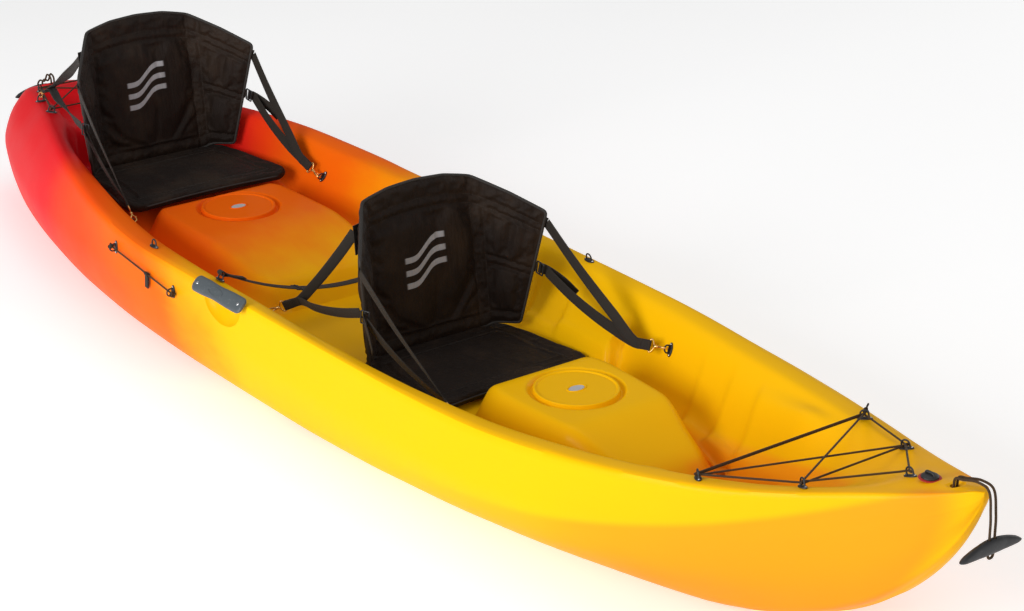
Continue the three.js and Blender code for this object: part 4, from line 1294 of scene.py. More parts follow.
@dataclass
class Studio:
    """Camera, pale floor and soft lights."""

    azimuth: float = 52.22
    elevation: float = 22.65
    roll: float = 0.51
    lens: float = 86.7
    target: Point = (0.155, 0.202, 0.201)
    distance: float = 5.908

    def camera(self) -> None:
        """Sets the camera at the view of the boat from its starboard bow."""
        data = bpy.data.cameras.new("view")
        data.lens, data.sensor_width = self.lens, 36.0
        data.clip_start, data.clip_end = 0.1, 200.0
        made = bpy.data.objects.new("view", data)
        bpy.context.scene.collection.objects.link(made)
        a, e = math.radians(self.azimuth), math.radians(self.elevation)
        back = Vector((math.sin(a) * math.cos(e), -math.cos(a) * math.cos(e), math.sin(e)))
        right = Vector((math.cos(a), math.sin(a), 0))
        up = back.cross(right)
        r = math.radians(self.roll)
        turned = right * math.cos(r) + up * math.sin(r)
        upright = up * math.cos(r) - right * math.sin(r)
        rows = Matrix((turned, upright, back)).transposed()
        made.matrix_world = Matrix.Translation(
            Vector(self.target) + back * self.distance
        ) @ rows.to_4x4()
        bpy.context.scene.camera = made

    def floor(self) -> None:
        """Wide pale floor with a faint unevenness of tone."""
        half, below = 60, -0.002
        corners = [(x * half, y * half, below) for x, y in ((-1, -1), (1, -1), (1, 1), (-1, 1))]
        made = Workshop.mesh("floor", np.array(corners), [(0, 1, 2, 3)])
        board = Board("pale_floor")
        tone = board.noise(board.place(), 0.8, 2.0, 0.5)
        colour = board.mix(tone, (0.90, 0.90, 0.90), (0.93, 0.93, 0.93))
        made.data.materials.append(
            board.finish(
                Base_Color=colour, Roughness=0.9, Specular_IOR_Level=0.1,
                Emission_Color=(1.0, 1.0, 1.0), Emission_Strength=0.36,
            )
        )

    def lamp(
        self, name: str, place: Point, aim: Point, size: float, power: float
    ) -> None:
        """Adds a square soft light.

        Args:
            name: Its name.
            place: Where it stands.
            aim: What it points at.
            size: Its side.
            power: Its power in watts.
        """
        data = bpy.data.lights.new(name, "AREA")
        data.shape, data.size, data.energy = "SQUARE", size, power
        made = bpy.data.objects.new(name, data)
        bpy.context.scene.collection.objects.link(made)
        made.location = place
        made.rotation_euler = (Vector(aim) - Vector(place)).to_track_quat("-Z", "Y").to_euler()

    def make(self) -> None:
        """Builds the studio."""
        self.camera()
        self.floor()
        self.lamp("key", (0.9, -5.7, 2.0), (0, 0, 0.3), 3.0, 290)
        self.lamp("bow_fill", (5.4, -1.6, 2.2), (0.6, 0, 0.3), 2.4, 46)
        self.lamp("top", (-0.4, 0.8, 4.6), (0, 0, 0), 3.4, 34)
        self.lamp("port_fill", (0.4, 6.4, 1.6), (0, 0, 0.3), 3.4, 60)
        world = bpy.data.worlds.new("studio")
        world.use_nodes = True
        sky = world.node_tree.nodes["Background"]
        sky.inputs[0].default_value = (1.0, 1.0, 1.0, 1.0)
        sky.inputs[1].default_value = 0.36
        bpy.context.scene.world = world


# ---------------------------------------------------------------- fittings


@dataclass(frozen=True)
class Mounting:
    """Place and axes of a fitting, in metres: rows u along it, v across it, n out."""

    origin: np.ndarray
    axes: np.ndarray

    def at(self, u: float, v: float, n: float) -> np.ndarray:
        """A point given in millimetres along the fitting's axes."""
        return self.origin + (np.array([u, v, n]) * MM) @ self.axes

    def matrix(self) -> Matrix:
        """The frame as a Blender matrix."""
        rows = Matrix([list(row) for row in self.axes]).transposed().to_4x4()
        return Matrix.Translation(Vector(self.origin)) @ rows


def fitting_axes(along: Sequence[float], outward: Sequence[float]) -> np.ndarray:
    """Axes of a fitting from its length's direction and its outward direction.

    Args:
        along: Rough direction of its length.
        outward: Outward direction.

    Returns:
        Rows u, v and n.
    """
    n = unit(np.asarray(outward, float))
    u = unit(np.asarray(along, float) - n * np.dot(along, n))
    return np.array([u, np.cross(n, u), n])


def seated(node: str, points: np.ndarray) -> np.ndarray:
    """Shift that brings points onto the lowest corner of a CAD node.

    Args:
        node: The CAD node.
        points: N by 3 array in metres.

    Returns:
        The shift.
    """
    return np.array(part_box(node)[0]) - points.min(axis=0)


class Repeater:
    """Geometry Nodes trees for what repeats: rivet heads and stitches."""

    @staticmethod
    def _tree(name: str, inputs: Sequence[tuple[str, str, object]]) -> bpy.types.NodeTree:
        """A tree with a geometry input, named inputs and a geometry output."""
        tree = bpy.data.node_groups.new(name, "GeometryNodeTree")
        tree.interface.new_socket("Geometry", in_out="INPUT", socket_type="NodeSocketGeometry")
        for label, kind, value in inputs:
            socket = tree.interface.new_socket(label, in_out="INPUT", socket_type=kind)
            if value is not None:
                socket.default_value = value
        tree.interface.new_socket("Geometry", in_out="OUTPUT", socket_type="NodeSocketGeometry")
        return tree

    @staticmethod
    def _add(
        tree: bpy.types.NodeTree, kind: str, inputs: dict, **settings: object
    ) -> bpy.types.Node:
        """Adds a node with its settings, and its inputs as values or sockets."""
        made = tree.nodes.new(kind)
        for key, value in settings.items():
            setattr(made, key, value)
        for key, value in inputs.items():
            if isinstance(value, bpy.types.NodeSocket):
                tree.links.new(value, made.inputs[key])
            else:
                made.inputs[key].default_value = value
        return made

    @classmethod
    def _spread(
        cls, enter: bpy.types.Node, dots: bpy.types.NodeSocket, shape: bpy.types.NodeSocket,
        facing: bpy.types.NodeSocket,
    ) -> None:
        """Puts a copy of a shape on every point and ends the tree.

        Args:
            enter: The tree's input node.
            dots: The points.
            shape: What is copied, standing along z.
            facing: Direction in which each copy stands.
        """
        tree = enter.id_data
        turn = cls._add(tree, "FunctionNodeAlignRotationToVector", {"Vector": facing}, axis="Z")
        copy = cls._add(tree, "GeometryNodeInstanceOnPoints", {
            "Points": dots, "Instance": shape, "Rotation": turn.outputs["Rotation"],
        })
        real = cls._add(tree, "GeometryNodeRealizeInstances", {0: copy.outputs["Instances"]})
        paint = cls._add(tree, "GeometryNodeSetMaterial", {
            "Geometry": real.outputs[0], "Material": enter.outputs["Finish"],
        })
        cls._add(tree, "NodeGroupOutput", {0: paint.outputs[0]})

    @staticmethod
    def _run(
        name: str, data: bpy.types.Mesh, tree: bpy.types.NodeTree, values: dict[str, object]
    ) -> bpy.types.Object:
        """Runs a tree on a mesh and keeps the plain mesh that it gives."""
        holder = bpy.data.objects.new(name, data)
        bpy.context.scene.collection.objects.link(holder)
        modifier = holder.modifiers.new("repeat", "NODES")
        modifier.node_group = tree
        for item in tree.interface.items_tree:
            if item.in_out == "INPUT" and item.name in values:
                modifier[item.identifier] = values[item.name]
        Workshop.settled(holder)
        Workshop.soften(holder, 38.0)
        return holder

    @classmethod
    def rivets(
        cls, name: str, places: Sequence[np.ndarray], facing: Sequence[np.ndarray],
        radius: float, material: bpy.types.Material,
    ) -> bpy.types.Object:
        """Domed heads at points, each facing its own way.

        Args:
            name: The piece's name.
            places: Head centres in metres.
            facing: Outward directions.
            radius: Head radius in metres.
            material: Their finish.

        Returns:
            One mesh.
        """
        data = bpy.data.meshes.new(name)
        data.from_pydata([tuple(p) for p in places], [], [])
        attribute = data.attributes.new("facing", "FLOAT_VECTOR", "POINT")
        attribute.data.foreach_set("vector", np.asarray(facing, np.float32).ravel())
        tree = cls._tree("rivet_heads", [
            ("Radius", "NodeSocketFloat", 0.003), ("Height", "NodeSocketFloat", 0.55),
            ("Finish", "NodeSocketMaterial", None),
        ])
        enter = tree.nodes.new("NodeGroupInput")
        ball = cls._add(tree, "GeometryNodeMeshUVSphere", {
            "Segments": 14, "Rings": 8, "Radius": enter.outputs["Radius"],
        })
        flat = cls._add(
            tree, "ShaderNodeCombineXYZ", {0: 1.0, 1: 1.0, 2: enter.outputs["Height"]}
        )
        head = cls._add(tree, "GeometryNodeTransform", {
            "Geometry": ball.outputs["Mesh"], "Scale": flat.outputs[0],
        })
        read = cls._add(
            tree, "GeometryNodeInputNamedAttribute", {"Name": "facing"},
            data_type="FLOAT_VECTOR",
        )
        dots = cls._add(tree, "GeometryNodeMeshToPoints", {"Mesh": enter.outputs["Geometry"]})
        cls._spread(
            enter, dots.outputs["Points"], head.outputs["Geometry"], read.outputs["Attribute"]
        )
        return cls._run(name, data, tree, {"Radius": radius, "Finish": material})

    @classmethod
    def stitches(
        cls, name: str, lines: Sequence[np.ndarray], material: bpy.types.Material,
        pitch: float = 0.0052, thread: float = 0.00055,
    ) -> bpy.types.Object:
        """A row of stitches along each line.

        Args:
            name: The piece's name.
            lines: Lines on the cloth, each an N by 3 array in metres.
            material: The thread's finish.
            pitch: Length from one stitch to the next.
            thread: Thread radius.

        Returns:
            One mesh.
        """
        points, edges = [], []
        for line in lines:
            start = len(points)
            points.extend(tuple(p) for p in line)
            edges.extend((start + i, start + i + 1) for i in range(len(line) - 1))
        data = bpy.data.meshes.new(name)
        data.from_pydata(points, edges, [])
        tree = cls._tree("stitch_rows", [
            ("Pitch", "NodeSocketFloat", 0.005), ("Thread", "NodeSocketFloat", 0.0005),
            ("Length", "NodeSocketFloat", 0.0034), ("Finish", "NodeSocketMaterial", None),
        ])
        enter = tree.nodes.new("NodeGroupInput")
        pitch_in, thread_in = enter.outputs["Pitch"], enter.outputs["Thread"]
        curve = cls._add(tree, "GeometryNodeMeshToCurve", {"Mesh": enter.outputs["Geometry"]})
        even = cls._add(tree, "GeometryNodeCurveToPoints", {
            "Curve": curve.outputs["Curve"], "Length": pitch_in,
        }, mode="LENGTH")
        bead = cls._add(
            tree, "GeometryNodeMeshUVSphere", {"Segments": 6, "Rings": 4, "Radius": 1.0}
        )
        half = cls._add(
            tree, "ShaderNodeMath", {0: enter.outputs["Length"], 1: 0.5}, operation="MULTIPLY"
        )
        size = cls._add(
            tree, "ShaderNodeCombineXYZ", {0: thread_in, 1: thread_in, 2: half.outputs[0]}
        )
        stitch = cls._add(tree, "GeometryNodeTransform", {
            "Geometry": bead.outputs["Mesh"], "Scale": size.outputs[0],
        })
        cls._spread(
            enter, even.outputs["Points"], stitch.outputs["Geometry"], even.outputs["Tangent"]
        )
        values = {"Pitch": pitch, "Thread": thread, "Finish": material}
        return cls._run(name, data, tree, values)


@dataclass
class PadEyes:
    """Moulded pad eyes, each held by two rivets."""

    form: HullForm
    shop: Workshop
    length: float = 34.0
    rod: float = 1.9
    hole: float = 7.0
    plate: float = 2.5
    deck: tuple[tuple[str, float, float, float], ...] = (
        ("bow_eye_aft_starboard", 1302, -227, 147), ("bow_eye_aft_port", 1302, 227, -147),
        ("bow_eye_mid_starboard", 1500, -140, 161), ("bow_eye_mid_port", 1500, 140, -161),
        ("bow_eye_centre", 1642, 0, 0),
        ("stern_eye_aft_starboard", -1712, -70, 126), ("stern_eye_aft_port", -1712, 70, -126),
        ("stern_eye_fwd_starboard", -1475, -158, 36), ("stern_eye_fwd_port", -1475, 158, -36),
        ("rim_eye_starboard", -490, -402, 0), ("rim_eye_port", 205, 398, 0),
        ("mid_eye_starboard", -212, -385, 0), ("mid_eye_port", -212, 385, 0),
        ("front_seat_starboard_eye_front", 604, -314, -90),
        ("front_seat_port_eye_front", 604, 314, 90),
        ("front_seat_starboard_eye_rear", -92, -344, -90),
        ("front_seat_port_eye_rear", -92, 344, 90),
        ("rear_seat_starboard_eye_front", -806, -300, -90),
        ("rear_seat_port_eye_front", -806, 300, 90),
        ("rear_seat_starboard_eye_rear", -1604, -124, -90),
        ("rear_seat_port_eye_rear", -1604, 124, 90),
    )
    side: tuple[tuple[str, float, float], ...] = (
        ("keeper_eye_aft", -642, 246), ("keeper_eye_fwd", -352, 224),
    )
    places: dict[str, Mounting] = field(default_factory=dict)

    @property
    def rod_height(self) -> float:
        """Height of the middle of the arch's rod."""
        return self.plate + 2 * self.hole + self.rod

    def outline(self) -> np.ndarray:
        """Extreme points of an eye in its own axes, in metres."""
        outer = self.hole + 2 * self.rod
        rows = [(-self.length / 2, 0), (self.length / 2, 0), (self.length / 2, self.plate),
                (-self.length / 2, self.plate), (outer, self.plate + 1), (-outer, self.plate + 1)]
        for i in range(7):
            a = i / 6 * math.pi
            rows.append((outer * math.cos(a), self.plate + self.hole + outer * math.sin(a)))
        points = [(u, v, n) for u, n in rows for v in (-self.rod, self.rod)]
        for i in range(8):
            a = i / 4 * math.pi
            for n in (0, self.plate):
                points.append((self.length / 2 * math.sin(a), -7 * math.cos(a), n))
        return np.array(points) * MM

    def locate(self) -> None:
        """Works out where every eye stands."""
        for name, x, y, heading in self.deck:
            a = math.radians(heading)
            axes = fitting_axes((math.cos(a), math.sin(a), 0), self.form.top_normal(x, y))
            self.places[name] = Mounting(seated(name, self.outline() @ axes), axes)
        for name, x, z in self.side:
            rise = (self.form.side_y(x, z + 10) - self.form.side_y(x, z - 10)) / 20
            sweep = (self.form.side_y(x + 20, z) - self.form.side_y(x - 20, z)) / 40
            axes = fitting_axes((0, 0, 1), (-sweep, -1, -rise))
            self.places[name] = Mounting(seated(name, self.outline() @ axes), axes)

    def hole_at(self, name: str) -> np.ndarray:
        """Middle of an eye's hole."""
        return self.places[name].at(0, 0, self.plate + self.hole)

    def rod_at(self, name: str) -> np.ndarray:
        """Middle of an eye's rod."""
        return self.places[name].at(0, 0, self.rod_height)

    def template(self) -> bpy.types.Object:
        """One eye at the origin: lozenge foot and round arch.

        Returns:
            The eye, to be copied.
        """
        n = 40
        angle = np.arange(n) / n * 2 * math.pi
        half, width = self.length / 2, 7.2
        rows = []
        for grow, height in ((1.0, 0.0), (1.0, 1.5), (0.96, 2.2), (0.86, 2.6)):
            rows.append(np.stack([
                half * grow * np.sign(np.cos(angle)) * np.abs(np.cos(angle)) ** 0.9,
                width * grow * np.sign(np.sin(angle)) * np.abs(np.sin(angle)) ** 1.15,
                np.full(n, height),
            ], axis=1))
        points = np.vstack([*rows, [(0, 0, 0), (0, 0, 2.8)]])
        faces = ring_faces(len(rows), n) + end_fans(len(rows), n)
        foot = Workshop.mesh("pad_eye_foot", points * MM, faces)
        reach = self.hole + self.rod
        path = [(-reach - 1.2, 0, 1.2), (-reach - 0.3, 0, 4.5)]
        for i in range(13):
            a = math.pi - i / 12 * math.pi
            path.append((reach * math.cos(a), 0, self.plate + self.hole + reach * math.sin(a)))
        path += [(reach + 0.3, 0, 4.5), (reach + 1.2, 0, 1.2)]
        path = smooth_path(np.array(path) * MM, 0.0012)
        lift = path[:, 2] / MM
        radius = (self.rod + 1.1 * (1 - ease(1.5, 6.5, lift))) * MM
        arch = Workshop.tube("pad_eye_arch", path, radius, 14)
        return Workshop.fused(foot, [arch], "UNION", 50.0)

    def make(self) -> None:
        """Builds every eye and its rivets."""
        pattern = self.template()
        rivets, facing = [], []
        for name, place in self.places.items():
            data = pattern.data.copy()
            data.transform(place.matrix())
            eye = bpy.data.objects.new(f"{name}_moulding", data)
            bpy.context.scene.collection.objects.link(eye)
            self.shop.dress(eye, self.shop.wardrobe.black, Slot.BLACK, "hull", [name])
            for u in (-12.6, 12.6):
                rivets.append(place.at(u, 0, 2.6))
                facing.append(place.axes[2])
        bpy.data.objects.remove(pattern)
        heads = Repeater.rivets(
            "pad_eye_rivets", rivets, facing, 2.5 * MM, self.shop.wardrobe.steel
        )
        self.shop.dress(heads, self.shop.wardrobe.steel, Slot.BRASS)


@dataclass
class Rigging:
    """Laced deck cords, carry toggles, drain plug, side grips and the paddle keeper."""

    form: HullForm
    eyes: PadEyes
    shop: Workshop
    cord_radius: float = 2.2 * MM
    rope_radius: float = 2.6 * MM
    toggle_x: float = 1850.0
    toggle_bore: float = 7.0

    def knot(
        self, name: str, centre: np.ndarray, along: np.ndarray, size: float
    ) -> bpy.types.Object:
        """An overhand knot: a closed three-lobed turn of the cord.

        Args:
            name: The piece's name.
            centre: Its middle.
            along: Direction of the cord that it holds.
            size: Its overall radius in metres.

        Returns:
            The knot.
        """
        t = np.linspace(0, 2 * math.pi, 90, endpoint=False)
        local = np.stack([
            np.sin(t) + 2 * np.sin(2 * t), np.cos(t) - 2 * np.cos(2 * t), -np.sin(3 * t) * 1.5,
        ], axis=1) / 3.0 * (size - self.cord_radius)
        axes = fitting_axes((0.2, 0.3, 1.0), along)
        made = Workshop.tube(name, local @ axes + centre, self.cord_radius * 0.98, 10, closed=True)
        return self.shop.dress(made, self.shop.wardrobe.braid, Slot.CORD)

    def laced(
        self, name: str, node: str, stops: Sequence[tuple[str, float]], inward: Point
    ) -> None:
        """A cord laced through eyes.

        Args:
            name: The piece's name.
            node: CAD node that it stands for.
            stops: Eyes in order, each with the lane of the run that leads away from it.
            inward: Middle of the lacing, from which the turns bulge away.
        """
        points: list[np.ndarray] = []
        middle = np.array(inward)
        for index, (eye, lane) in enumerate(stops):
            hole = self.eyes.hole_at(eye)
            out = unit((hole - middle) * (1, 1, 0))
            arrive = stops[index - 1][1] if index else lane
            lift = np.array([0, 0, 2.5 * MM])
            if index == 0:
                points += [hole + out * 0.013 + lift * lane, hole + lift * lane]
            elif index == len(stops) - 1:
                points += [hole + lift * arrive, hole + out * 0.013 + lift * arrive]
            else:
                points += [
                    hole + lift * arrive, hole + out * 0.0062 + lift * (arrive + lane) / 2,
                    hole + lift * lane,
                ]
        path = []
        for a, b in zip(points, points[1:]):
            n = max(1, int(np.linalg.norm(b - a) / 0.02))
            path += [a + (b - a) * k / n for k in range(n)]
        path.append(points[-1])
        path = smooth_path(path, 0.004)
        made = Workshop.tube(name, path, self.cord_radius, 10)
        self.shop.dress(made, self.shop.wardrobe.braid, Slot.CORD, "hull", [node])
        ends = [
            self.knot(f"{name}_knot_{label}", point, self.eyes.places[eye].axes[1], 7.6 * MM)
            for label, point, eye in
            (("start", path[0], stops[0][0]), ("end", path[-1], stops[-1][0]))
        ]
        for end, point in zip(ends, (path[0], path[-1])):
            out = point - middle
            out[2] = 0.2 * np.linalg.norm(out)
            out = unit(out)
            bend = point + out * 0.012 + (0, 0, 0.002)
            tail = smooth_path([point, bend, point + out * 0.024], 0.002)
            piece = Workshop.tube(f"{end.name}_tail", tail, self.cord_radius * 0.96, 10)
            self.shop.dress(piece, self.shop.wardrobe.braid, Slot.CORD)

    def toggle(
        self, end: str, direction: int, bore_x: float, lip: tuple[float, float], hang: float,
    ) -> None:
        """A crescent toggle and the rope that it hangs on.

        Args:
            end: bow or stern.
            direction: 1 at the bow and -1 at the stern.
            bore_x: Station of the rope's bore.
            lip: Station and height where the rope leaves the hull.
            hang: Height of the toggle.
        """
        x, (lip_x, lip_z) = direction * self.toggle_x, lip
        count, sides = 57, 24
        ys = -82 + 164 * (1 - np.cos(np.linspace(0, math.pi, count))) / 2
        angle = np.arange(sides) / sides * 2 * math.pi
        rings = []
        for y in ys:
            t = abs(y) / 82
            top = 15.0 - 22.0 * t**1.9
            low = -17.5 + 3.0 * t**2.4
            end_cap = math.sqrt(max(0.0, 1 - max(0.0, (t - 0.80) / 0.2) ** 2))
            centre = (top + low) / 2
            tall = (top - low) / 2 * (0.12 + 0.88 * end_cap)
            thick = (7.8 - 1.4 * t) * (0.12 + 0.88 * end_cap)
            sx = np.sign(np.cos(angle)) * np.abs(np.cos(angle)) ** 0.8
            sz = np.sign(np.sin(angle)) * np.abs(np.sin(angle)) ** 0.8
            groove = 1 - 0.10 * np.exp(-(((t - 0.42) / 0.10) ** 2))
            rings.append(np.stack([
                x + thick * groove * sx, np.full(sides, y), hang + centre + tall * sz
            ], axis=1))
        points = np.vstack([*rings, [(x, ys[0], hang - 10.7), (x, ys[-1], hang - 10.7)]])
        faces = ring_faces(count, sides) + end_fans(count, sides)
        grip = Workshop.mesh(f"{end}_toggle_grip", points * MM, faces)
        bores = [
            Workshop.lathe(
                "cutter", [(0, -30), (4.2, -30), (4.2, 30), (0, 30)],
                (x * MM, side * self.toggle_bore * MM, hang * MM), None, 24,
            )
            for side in (-1, 1)
        ]
        Workshop.fused(grip, bores, "DIFFERENCE", 50.0)
        self.shop.dress(
            grip, self.shop.wardrobe.black, Slot.BLACK, f"{end}_toggle", [f"{end}_toggle"]
        )
        z = float(self.form.deck_z(bore_x, 0))
        hanging = lip_z - hang > 60
        drop_z = lip_z + (hang - lip_z) * 0.4

        def strand(side: int) -> list[Point]:
            """One side of the rope, from the bore down to the toggle."""
            return [
                (bore_x, side * 4.6, z - 26), (bore_x + direction, side * 4.6, z - 4),
                (bore_x + direction * 4, side * 4.8, z + 14),
                (bore_x + direction * 22, side * 5.4, z + 19),
                (lip_x - direction * 20, side * 6, lip_z + 10),
                (lip_x + direction * 8, side * 6.5, lip_z + 5),
                *([(x - direction * 2, side * 7, drop_z)] if hanging else []),
                (x, side * 7, hang + (24 if hanging else 17)), (x, side * 7, hang - 12),
            ]

        under = [(x, 6.6, hang - 21), (x, 3.4, hang - 25.5), (x, -3.4, hang - 25.5),
                 (x, -6.6, hang - 21)]
        route = np.array(strand(1) + under + strand(-1)[::-1]) * MM
        path = smooth_path(route, 0.002)
        rope = Workshop.tube(f"{end}_toggle_line", path, self.rope_radius, 12)
        self.shop.dress(rope, self.shop.wardrobe.braid, Slot.CORD, None, [f"{end}_toggle_rope"])
        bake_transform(rope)

    def plug(self) -> None:
        """Drain plug with its finger bar, and the red washer under it."""
        low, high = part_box("drain_plug")
        x, y = (low.x + high.x) / 2, (low.y + high.y) / 2
        z = low.z + 22 * MM
        profile = [
            (0, -22), (9.4, -22), (10.4, -21), (10.4, 0.4), (16.4, 0.4), (17, 1.0), (17, 3.4),
            (16.2, 4.4), (14, 5.6), (9, 6.6), (0, 7.0),
        ]
        cap = Workshop.lathe("drain_plug_cap", profile, (x, y, z), None, 56)
        bar_path = smooth_path(np.array([
            (-11.5, 0, 5.0), (-9, 0, 9.4), (0, 0, 10.6), (9, 0, 9.4), (11.5, 0, 5.0),
        ]) * MM + (x, y, z), 0.001)
        bar = Workshop.tube("bar", bar_path, 2.7 * MM, 14)
        grips = []
        for k in range(16):
            a = k / 16 * 2 * math.pi
            base = np.array((x + 16.9 * MM * math.cos(a), y + 16.9 * MM * math.sin(a), z))
            grips.append(Workshop.tube("rib", np.array([
                base + (0, 0, 0.9 * MM), base + (0, 0, 2.2 * MM), base + (0, 0, 3.5 * MM)
            ]), 0.8 * MM, 8))
        Workshop.fused(cap, [bar, *grips], "UNION", 40.0)
        self.shop.dress(cap, self.shop.wardrobe.black, Slot.BLACK, "drain_plug", ["drain_plug"])
        washer = Workshop.lathe(
            "drain_plug_washer",
            [(11.8, -1.4), (21.5, -1.4), (22.4, -0.3), (21.6, 0.15), (12.2, 0.2)],
            (x, y, z), None, 56,
        )
        self.shop.dress(washer, self.shop.wardrobe.gasket, Slot.BLACK)

    def side_grip(self, side: Side) -> None:
        """Padded bar with a blank oval panel and a screw at each end."""
        sign = side.value
        tilt = math.radians(42)
        outward = np.array([0, sign * math.cos(tilt), math.sin(tilt)])
        upward = np.array([0, -sign * math.sin(tilt), math.cos(tilt)])
        half, grip_x = 100.0, -137.0

        def centre(s: float) -> np.ndarray:
            """Middle of the bar at s millimetres along it."""
            rise = 7.5 * float(ease(0, 1, (half - abs(s)) / half))
            x = grip_x + s
            base = np.array([x, sign * float(self.form.rim_y(x)), float(self.form.rim_z(x))])
            return base + outward * (1.5 + rise) - upward * 7

        rough = []
        for s in (-half, -half + 8, -half + 26, -34, 0, 34, half - 26, half - 8, half):
            k = 0.72 if abs(s) > half - 1 else 1.0
            for u, n in ((-1, 0), (-0.86, 4.6), (-0.4, 6.6), (0.4, 6.6), (0.86, 4.6), (1, 0),
                         (0.8, -1.6), (-0.8, -1.6)):
                rough.append(centre(s) + upward * u * 21 * k + outward * (n * k + 2.4))
        shift = seated(f"side_grip_{side.word}", np.array(rough) * MM)
        count = 61
        stops = half * np.sin(np.linspace(-math.pi / 2, math.pi / 2, count))
        section = [
            (-0.94, -0.6), (-1.0, 0.6), (-0.98, 2.6), (-0.88, 4.4), (-0.66, 5.9), (-0.35, 6.6),
            (0, 6.8), (0.35, 6.6), (0.66, 5.9), (0.88, 4.4), (0.98, 2.6), (1.0, 0.6), (0.94, -0.6),
            (0.8, -1.5), (0, -1.6), (-0.8, -1.5),
        ]
        sides = len(section)
        rings = []
        for s in stops:
            t = abs(s) / half
            k = math.sqrt(max(0.0, 1 - max(0.0, (t - 0.86) / 0.14) ** 2)) * 0.5 + 0.5
            waist = 1 - 0.10 * float(ease(0.55, 0.0, t)) if t < 0.55 else 1.0
            rings.append([
                centre(s) + upward * u * 20.6 * k * waist + outward * (n * (0.55 + 0.45 * k) + 2.4)
                for u, n in section
            ])
        points = np.vstack([*[np.array(r) for r in rings],
                            [np.mean(rings[0], axis=0), np.mean(rings[-1], axis=0)]]) * MM + shift
        faces = ring_faces(count, sides) + end_fans(count, sides)
        bar = Workshop.mesh(f"side_grip_{side.word}_bar", points, faces)
        angle = np.arange(72) / 72 * 2 * math.pi
        oval = []
        for a in angle:
            up = 9.5 * math.sin(a)
            high = float(np.interp(abs(up) / 20.6, [0, 0.35, 0.66], [6.8, 6.6, 5.9]))
            spot = centre(26 * math.cos(a)) + upward * up + outward * (2.4 + high + 0.35)
            oval.append(spot * MM + shift)
        ring = Workshop.tube("ring", np.array(oval), 0.95 * MM, 8, closed=True)
        Workshop.fused(bar, [ring], "UNION", 40.0)
        self.shop.dress(
            bar, self.shop.wardrobe.grey, Slot.GRIP, "hull", [f"side_grip_{side.word}"]
        )
        heads = Repeater.rivets(
            f"side_grip_{side.word}_screws",
            [(centre(s) + outward * 8.2) * MM + shift for s in (-84, 84)],
            [outward, outward], 4.2 * MM, self.shop.wardrobe.steel,
        )
        self.shop.dress(heads, self.shop.wardrobe.steel, Slot.BRASS)

    def keeper(self) -> None:
        """Paddle keeper: knotted stretch cord between two eyes, with a webbing tab."""
        aft = self.eyes.hole_at("keeper_eye_aft")
        fwd = self.eyes.hole_at("keeper_eye_fwd")
        way = unit(fwd - aft)
        start, end = aft - way * 0.0114, fwd + way * 0.0114
        path = smooth_path([start, aft, (aft + fwd) / 2, fwd, end], 0.004)
        cord = Workshop.tube("keeper_line", path, self.cord_radius, 12)
        self.shop.dress(cord, self.shop.wardrobe.braid, Slot.CORD, "hull", ["keeper_cord"])
        knots = [
            self.knot(f"keeper_knot_{word}", point, way, 8.4 * MM)
            for word, point in (("aft", start), ("fwd", end))
        ]
        float(np.linalg.norm(end - start))
        up = unit(np.cross(way, (0, 1, 0)))
        side = unit(np.cross(up, way))
        middle = aft + (fwd - aft) * 0.6
        loop = []
        for a in np.linspace(-68, 248, 15):
            r = math.radians(a)
            loop.append(middle + (side * math.cos(r) + up * math.sin(r)) * 3.9 * MM)
        outer = [middle + side * 1.05 * MM - up * d * MM for d in (36, 24, 12, 6)]
        inner = [middle - side * 1.05 * MM - up * d * MM for d in (6, 12, 24, 36)]
        line = smooth_path(outer + loop + inner, 0.0015)
        across = np.tile(way, (len(line), 1))
        tab = Workshop.ribbon("keeper_pull_tab", line, across, 15 * MM, 1.5 * MM)
        self.shop.dress(tab, self.shop.wardrobe.webbing, Slot.WEBBING, "keeper_tab", ["keeper_tab"])
        rows = [
            np.array([middle + side * 1.9 * MM - up * d * MM + way * w * MM for w in (-5.5, 5.5)])
            for d in (10, 14, 31)
        ]
        seam = Repeater.stitches(
            "keeper_tab_stitches", rows, self.shop.wardrobe.thread, 0.0026, 0.0004
        )
        self.shop.dress(seam, self.shop.wardrobe.thread, Slot.WEBBING, "keeper_tab")

    def make(self) -> None:
        """Builds the rigging."""
        a, b = "bow_eye_aft_starboard", "bow_eye_aft_port"
        c, d, e = "bow_eye_mid_starboard", "bow_eye_mid_port", "bow_eye_centre"
        self.laced("bow_lacing", "bow_deck_cord", [
            (b, 1.0), (a, -0.2), (b, 0.0), (d, 0.0), (e, 0.6), (c, -0.4), (a, -1.0), (d, -1.0),
            (c, 1.0), (b, 0.0),
        ], (1.45, 0.0, 0.36))
        f, g = "stern_eye_aft_starboard", "stern_eye_aft_port"
        h, i = "stern_eye_fwd_starboard", "stern_eye_fwd_port"
        self.laced("stern_lacing", "stern_deck_cord", [
            (g, 0.0), (f, -0.5), (h, 0.0), (i, 0.0), (g, 0.0), (h, 0.5), (f, 0.0), (i, 0.0),
        ], (-1.60, 0.0, 0.32))
        self.toggle("bow", 1, 1752.0, (1829.0, 450.0), 345.0)
        self.toggle("stern", -1, -1768.0, (-1829.0, 292.0), 266.0)
        self.plug()
        for side in Side:
            self.side_grip(side)
        self.keeper()


# ---------------------------------------------------------------- seats


